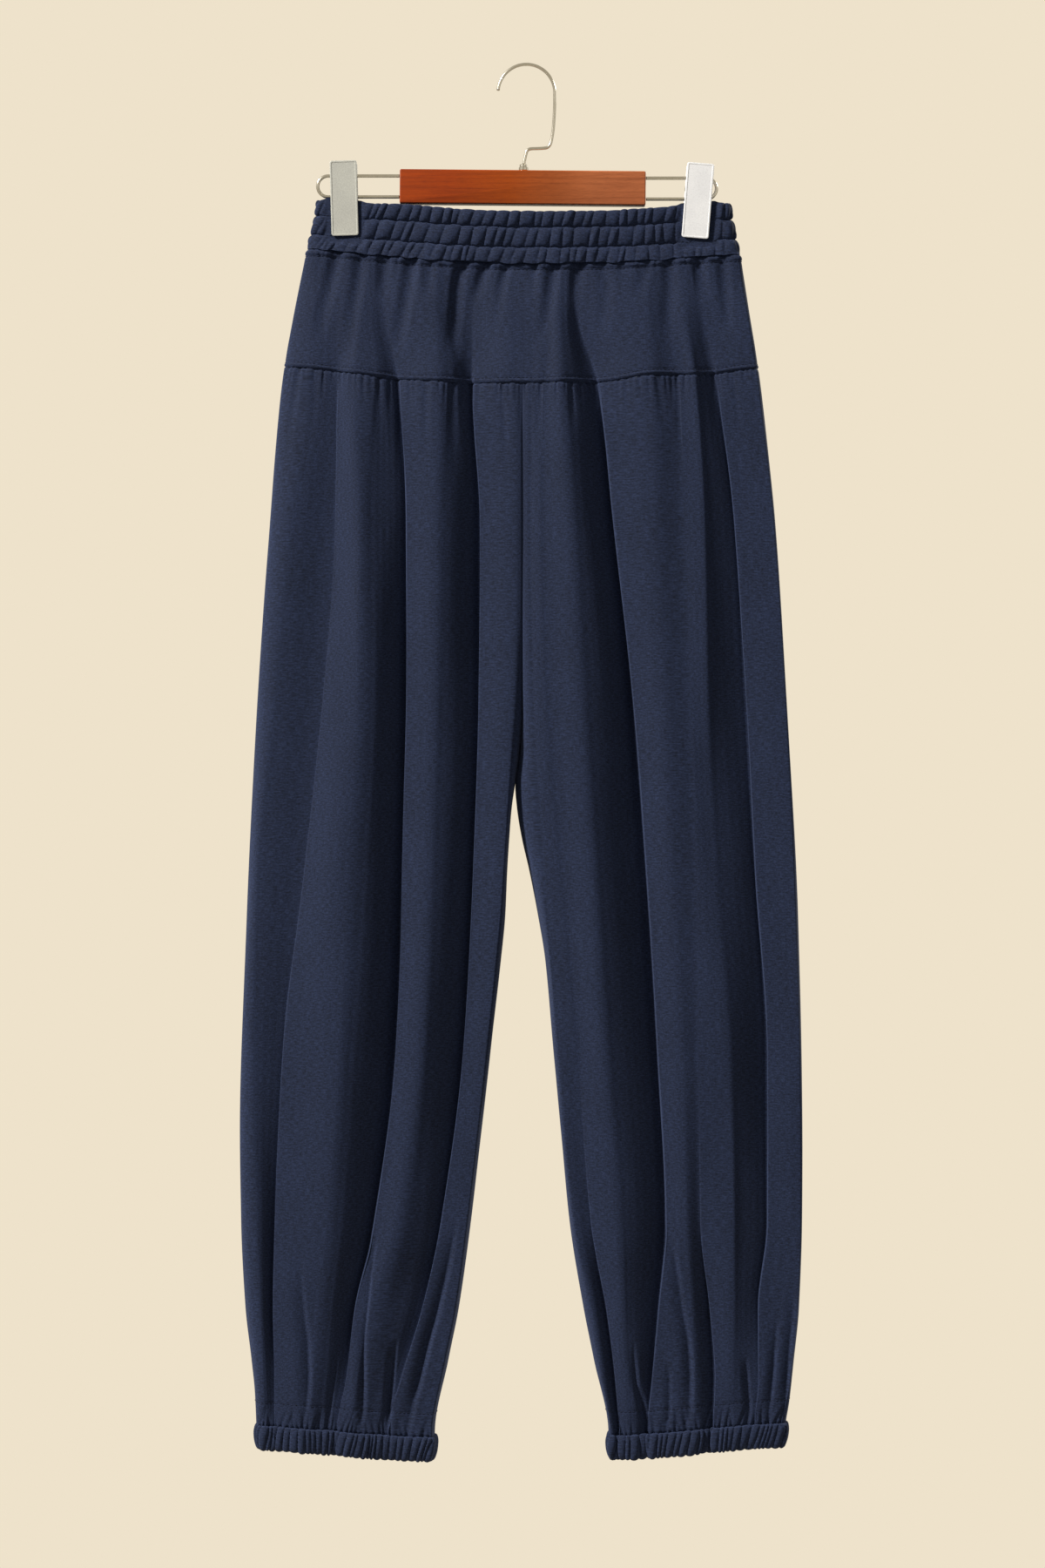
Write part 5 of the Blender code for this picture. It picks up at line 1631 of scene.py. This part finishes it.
def rounded_box(size, centre, tilt, corner, bevel, panel_side=0):
    """A box mesh with rounded corners in its face and softened edges, at its place.

    One face may have a panel pressed in behind a thin rim, on the near (-1) or far (1) side.
    """
    work = bmesh.new()
    bmesh.ops.create_cube(work, size=1.0)
    bmesh.ops.scale(work, vec=[length * MM for length in size], verts=work.verts)
    depthwise = [edge for edge in work.edges
                 if abs(edge.verts[0].co.y - edge.verts[1].co.y) > size[1] * MM / 2]
    bmesh.ops.bevel(work, geom=depthwise, offset=corner * MM, segments=6, affect="EDGES",
                    profile=0.5)
    bmesh.ops.bevel(work, geom=sharp_edges(work), offset=bevel * MM, segments=3, affect="EDGES",
                    profile=0.5)
    if panel_side:
        for width, depth in ((RIM_WIDTH, 0.0), (RIM_STEP, -RIM_STEP)):
            pressed = max(work.faces,
                          key=lambda face: panel_side * face.normal.y * face.calc_area())
            bmesh.ops.inset_individual(work, faces=[pressed], thickness=width * MM,
                                       depth=depth * MM)
    turn = Matrix.Rotation(tilt, 4, "Y")
    shift = Matrix.Translation(Vector(centre) * MM)
    bmesh.ops.transform(work, matrix=shift @ turn, verts=work.verts)
    return finished(work, "rounded box", 40)


class TROUSERS_OT_hanger_bar(bpy.types.Operator):
    """Make the varnished bar"""

    bl_idname = "trousers.hanger_bar"
    bl_label = "Hanger bar"

    def execute(self, context):
        mesh = rounded_box(BAR_SIZE, BAR_CENTRE, HANGER_TILT, corner=1.2, bevel=1.0)
        hand_over(mesh, "varnished_bar", wood_material(), "hanger_bar")
        return {"FINISHED"}


def wire_mesh(points, radius, steps):
    """A round wire along x, y and z points in millimetres, through a smooth curve."""
    points = np.array(points, float)
    travel = travel_along(points)
    wanted = np.linspace(0, travel[-1], steps)
    dense = np.stack([through(travel, points[:, axis], wanted) for axis in range(3)], axis=-1)
    curve = bpy.data.curves.new("wire", "CURVE")
    curve.dimensions = "3D"
    curve.bevel_depth = radius * MM
    curve.bevel_resolution = 5
    curve.use_fill_caps = True
    line = curve.splines.new("POLY")
    line.points.add(len(dense) - 1)
    for point, spot in zip(line.points, dense):
        point.co = (*(spot * MM), 1.0)
    work = bmesh.new()
    work.from_mesh(applied(bpy.data.objects.new("wire", curve)))
    bmesh.ops.remove_doubles(work, verts=work.verts, dist=1e-6)
    bmesh.ops.bevel(work, geom=sharp_edges(work), offset=radius * 0.45 * MM, segments=3,
                    affect="EDGES", profile=0.5)
    bmesh.ops.recalc_face_normals(work, faces=work.faces)
    return finished(work, "wire", 180)


def rail_points(rail, outwards):
    """Two level rails out of the bar's end, joined by a half round."""
    bend = RAIL_SPACING / 2
    bar_end = BAR_CENTRE[0] + outwards * (BAR_SIZE[0] / 2 + HANGER_GAP)
    bend_x = rail["outer_x"] - outwards * bend
    middle_z = -rail["upper_drop"] - bend
    points = [(bar_end, 0, middle_z + bend)]
    for turn in np.linspace(math.pi / 2, -math.pi / 2, 17):
        points.append((bend_x + outwards * bend * math.cos(turn), 0,
                       middle_z + bend * math.sin(turn)))
    points.append((bar_end, 0, middle_z - bend))
    return points


class TROUSERS_OT_hanger_wires(bpy.types.Operator):
    """Make the hook, its collar and the two rails"""

    bl_idname = "trousers.hanger_wires"
    bl_label = "Hook and rails"

    def execute(self, context):
        centre_drop = HOOK_RADIUS - HOOK_WIRE
        points = []
        for turn in np.radians(np.linspace(HOOK_SPAN[0], HOOK_SPAN[1], 25)):
            points.append((HOOK_RADIUS * math.cos(turn), 0,
                           HOOK_RADIUS * math.sin(turn) - centre_drop))
        points += [(x, 0, -drop) for x, drop in SHANK]
        hook = wire_mesh(points, HOOK_WIRE, steps=160)
        hand_over(hook, "hook_wire", wire_material(), "hook")
        for name, rail, outwards in (("left", RAIL_LEFT, -1), ("right", RAIL_RIGHT, 1)):
            wire = wire_mesh(rail_points(rail, outwards), RAIL_WIRE, steps=110)
            hand_over(wire, f"rail_{name}_wire", wire_material(),
                      f"rail_{name}")
        bar_top = -BAR_CENTRE[2] - BAR_SIZE[2] / 2
        bottom = bar_top - HANGER_GAP
        collar = turned_mesh((
            (0.0, FERRULE_TOP), (FERRULE_RADIUS * 0.55, FERRULE_TOP),
            (FERRULE_RADIUS * 0.8, FERRULE_TOP + 0.5), (FERRULE_RADIUS * 0.82, FERRULE_TOP + 2.4),
            (FERRULE_RADIUS, FERRULE_TOP + 3.1), (FERRULE_RADIUS, bottom - 0.4),
            (FERRULE_RADIUS * 0.92, bottom), (0.0, bottom)), FERRULE_X)
        hand_over(collar, "hook_collar", wire_material(), "ferrule")
        return {"FINISHED"}


def turned_mesh(profile, x):
    """A turned piece about a plumb axis: profile points are (radius, drop)."""
    work = bmesh.new()
    verts = [work.verts.new((radius * MM, 0, -drop * MM)) for radius, drop in profile]
    for first, second in zip(verts[:-1], verts[1:]):
        work.edges.new((first, second))
    bmesh.ops.spin(work, geom=work.verts[:] + work.edges[:], cent=(0, 0, 0), axis=(0, 0, 1),
                   angle=2 * math.pi, steps=32, use_merge=True)
    bmesh.ops.remove_doubles(work, verts=work.verts, dist=1e-6)
    bmesh.ops.recalc_face_normals(work, faces=work.faces)
    bmesh.ops.translate(work, vec=(x * MM, 0, 0), verts=work.verts)
    return finished(work, "turned", 35)


def spring_mesh(barrel):
    """The clip's coil spring, round the upper rail where its barrel is."""
    low, high = (np.array(corner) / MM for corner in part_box(barrel))
    middle = (low + high) / 2
    half = (high[0] - low[0]) / 2 - SPRING_WIRE
    radius = BARREL_RADIUS - SPRING_WIRE
    points = []
    for turn in np.linspace(0, 2 * math.pi * SPRING_TURNS, SPRING_TURNS * SPRING_STEPS + 1):
        along = half * (turn / (math.pi * SPRING_TURNS) - 1)
        points.append((middle[0] + along, middle[1] + radius * math.cos(turn),
                       middle[2] + radius * math.sin(turn)))
    return wire_mesh(points, SPRING_WIRE, steps=SPRING_TURNS * 24)


class TROUSERS_OT_hanger_clips(bpy.types.Operator):
    """Make the two clips' plates and springs"""

    bl_idname = "trousers.hanger_clips"
    bl_label = "Clips"

    def execute(self, context):
        plate_y = CLIP_INNER_FACE + CLIP_PLATE[1] / 2
        for side, clip in (("left", CLIP_LEFT), ("right", CLIP_RIGHT)):
            x, z = clip["centre"]
            for face, way in (("front", -1), ("back", 1)):
                mesh = rounded_box(CLIP_PLATE, (x, way * plate_y, z), clip["tilt"],
                                   corner=2.0, bevel=0.35, panel_side=way)
                name = f"clip_{side}_{face}"
                hand_over(mesh, f"{name}_plate", plate_material(side), name)
            name = f"clip_{side}_barrel"
            hand_over(spring_mesh(name), f"clip_{side}_spring", wire_material(),
                      name)
        return {"FINISHED"}


# ---- stage --------------------------------------------------------------------------------
LIGHTS = (               # name, degrees left of the camera's line, degrees up, distance, size, colour
    ("key", 60, 40, 4.5, 0.50, (1.0, 0.97, 0.93)),
    ("fill", -35, 10, 3.2, 1.6, (1.0, 0.97, 0.92)),
    ("back", -122, 30, 4.0, 0.6, (1.0, 0.98, 0.95)),
)
FILL_POWER = 5.0
MIRRORED = 0.55          # strength of the surroundings as glossy surfaces see them
FLOOR_DROP = 1.90
FLOOR_RADIUS = 0.95


def area_light(name, power, target, away, up, distance, size, colour):
    """A square soft light, aimed at the trousers."""
    away, up = math.radians(away), math.radians(up)
    data = bpy.data.lights.new(name, "AREA")
    data.energy = power
    data.size = size
    data.color = colour
    light = bpy.data.objects.new(name, data)
    bpy.context.scene.collection.objects.link(light)
    way = Vector((-math.sin(away) * math.cos(up), -math.cos(away) * math.cos(up), math.sin(up)))
    light.location = target + way * distance
    light.rotation_euler = (-way).to_track_quat("-Z", "Y").to_euler()


class TROUSERS_OT_stage(bpy.types.Operator):
    """Set the camera, the lights and the floor"""

    bl_idname = "trousers.stage"
    bl_label = "Stage"

    def execute(self, context):
        stage = context.scene.trousers_stage
        target = Vector(stage.aim)
        lens = bpy.data.cameras.new("camera")
        lens.lens = stage.lens
        lens.sensor_width = 36.0
        camera = bpy.data.objects.new("camera", lens)
        camera.location = target + Vector((0, -stage.distance, 0))
        camera.rotation_euler = (math.radians(90), 0, 0)
        context.scene.collection.objects.link(camera)
        context.scene.camera = camera
        context.scene.view_settings.view_transform = "Standard"

        powers = {"key": stage.key_power, "fill": FILL_POWER, "back": stage.back_power}
        for name, *facts in LIGHTS:
            area_light(name, powers[name], target, *facts)

        world = bpy.data.worlds.new("pale_room")
        context.scene.world = world
        world.use_nodes = True
        tree = world.node_tree
        tree.nodes.clear()
        seen = node(tree, "ShaderNodeBackground", inputs={
            "Color": (*stage.backdrop_colour, 1), "Strength": 1.0})
        light = node(tree, "ShaderNodeBackground", inputs={
            "Color": (1.0, 0.98, 0.95, 1), "Strength": stage.fill})
        path = node(tree, "ShaderNodeLightPath")
        mirrored = node(tree, "ShaderNodeBackground", inputs={
            "Color": (*stage.backdrop_colour, 1), "Strength": MIRRORED})
        soft = node(tree, "ShaderNodeMixShader", inputs={
            0: path.outputs["Is Glossy Ray"], 1: light.outputs[0], 2: mirrored.outputs[0]})
        mix = node(tree, "ShaderNodeMixShader", inputs={
            0: path.outputs["Is Camera Ray"], 1: soft.outputs[0], 2: seen.outputs[0]})
        node(tree, "ShaderNodeOutputWorld", inputs={"Surface": mix.outputs[0]})

        work = bmesh.new()
        bmesh.ops.create_circle(work, cap_ends=True, radius=FLOOR_RADIUS, segments=128)
        bmesh.ops.translate(work, vec=(0, 0, -FLOOR_DROP), verts=work.verts)
        place(finished(work, "floor", 30), "floor", floor_material())
        return {"FINISHED"}


class TROUSERS_PT_panel(bpy.types.Panel):
    """Trousers in the sidebar"""

    bl_label = "Trousers"
    bl_idname = "TROUSERS_PT_panel"
    bl_space_type = "VIEW_3D"
    bl_region_type = "UI"
    bl_category = "Trousers"

    def draw(self, context):
        layout = self.layout
        for settings in (context.scene.trousers_cloth, context.scene.trousers_stitch,
                         context.scene.trousers_hanger, context.scene.trousers_stage):
            box = layout.box()
            for name in settings.bl_rna.properties.keys():
                if name not in ("rna_type", "name"):
                    box.prop(settings, name)
        for operator in OPERATORS:
            layout.operator(operator.bl_idname)


OPERATORS = (
    TROUSERS_OT_waistband,
    TROUSERS_OT_yokes,
    TROUSERS_OT_legs,
    TROUSERS_OT_cuffs,
    TROUSERS_OT_topstitching,
    TROUSERS_OT_hanger_bar,
    TROUSERS_OT_hanger_wires,
    TROUSERS_OT_hanger_clips,
    TROUSERS_OT_stage,
)
SETTINGS = {
    "trousers_cloth": ClothSettings,
    "trousers_stitch": StitchSettings,
    "trousers_hanger": HangerSettings,
    "trousers_stage": StageSettings,
}


def register():
    for cls in (*SETTINGS.values(), *OPERATORS, TROUSERS_PT_panel):
        bpy.utils.register_class(cls)
    for name, cls in SETTINGS.items():
        setattr(bpy.types.Scene, name, bpy.props.PointerProperty(type=cls))


def unregister():
    for name in SETTINGS:
        delattr(bpy.types.Scene, name)
    for cls in (TROUSERS_PT_panel, *OPERATORS, *SETTINGS.values()):
        bpy.utils.unregister_class(cls)


def main():
    register()
    bpy.ops.trousers.waistband()
    bpy.ops.trousers.yokes()
    bpy.ops.trousers.legs()
    bpy.ops.trousers.cuffs()
    bpy.ops.trousers.topstitching()
    bpy.ops.trousers.hanger_bar()
    bpy.ops.trousers.hanger_wires()
    bpy.ops.trousers.hanger_clips()
    bpy.ops.trousers.stage()


if __name__ == "__main__":
    main()
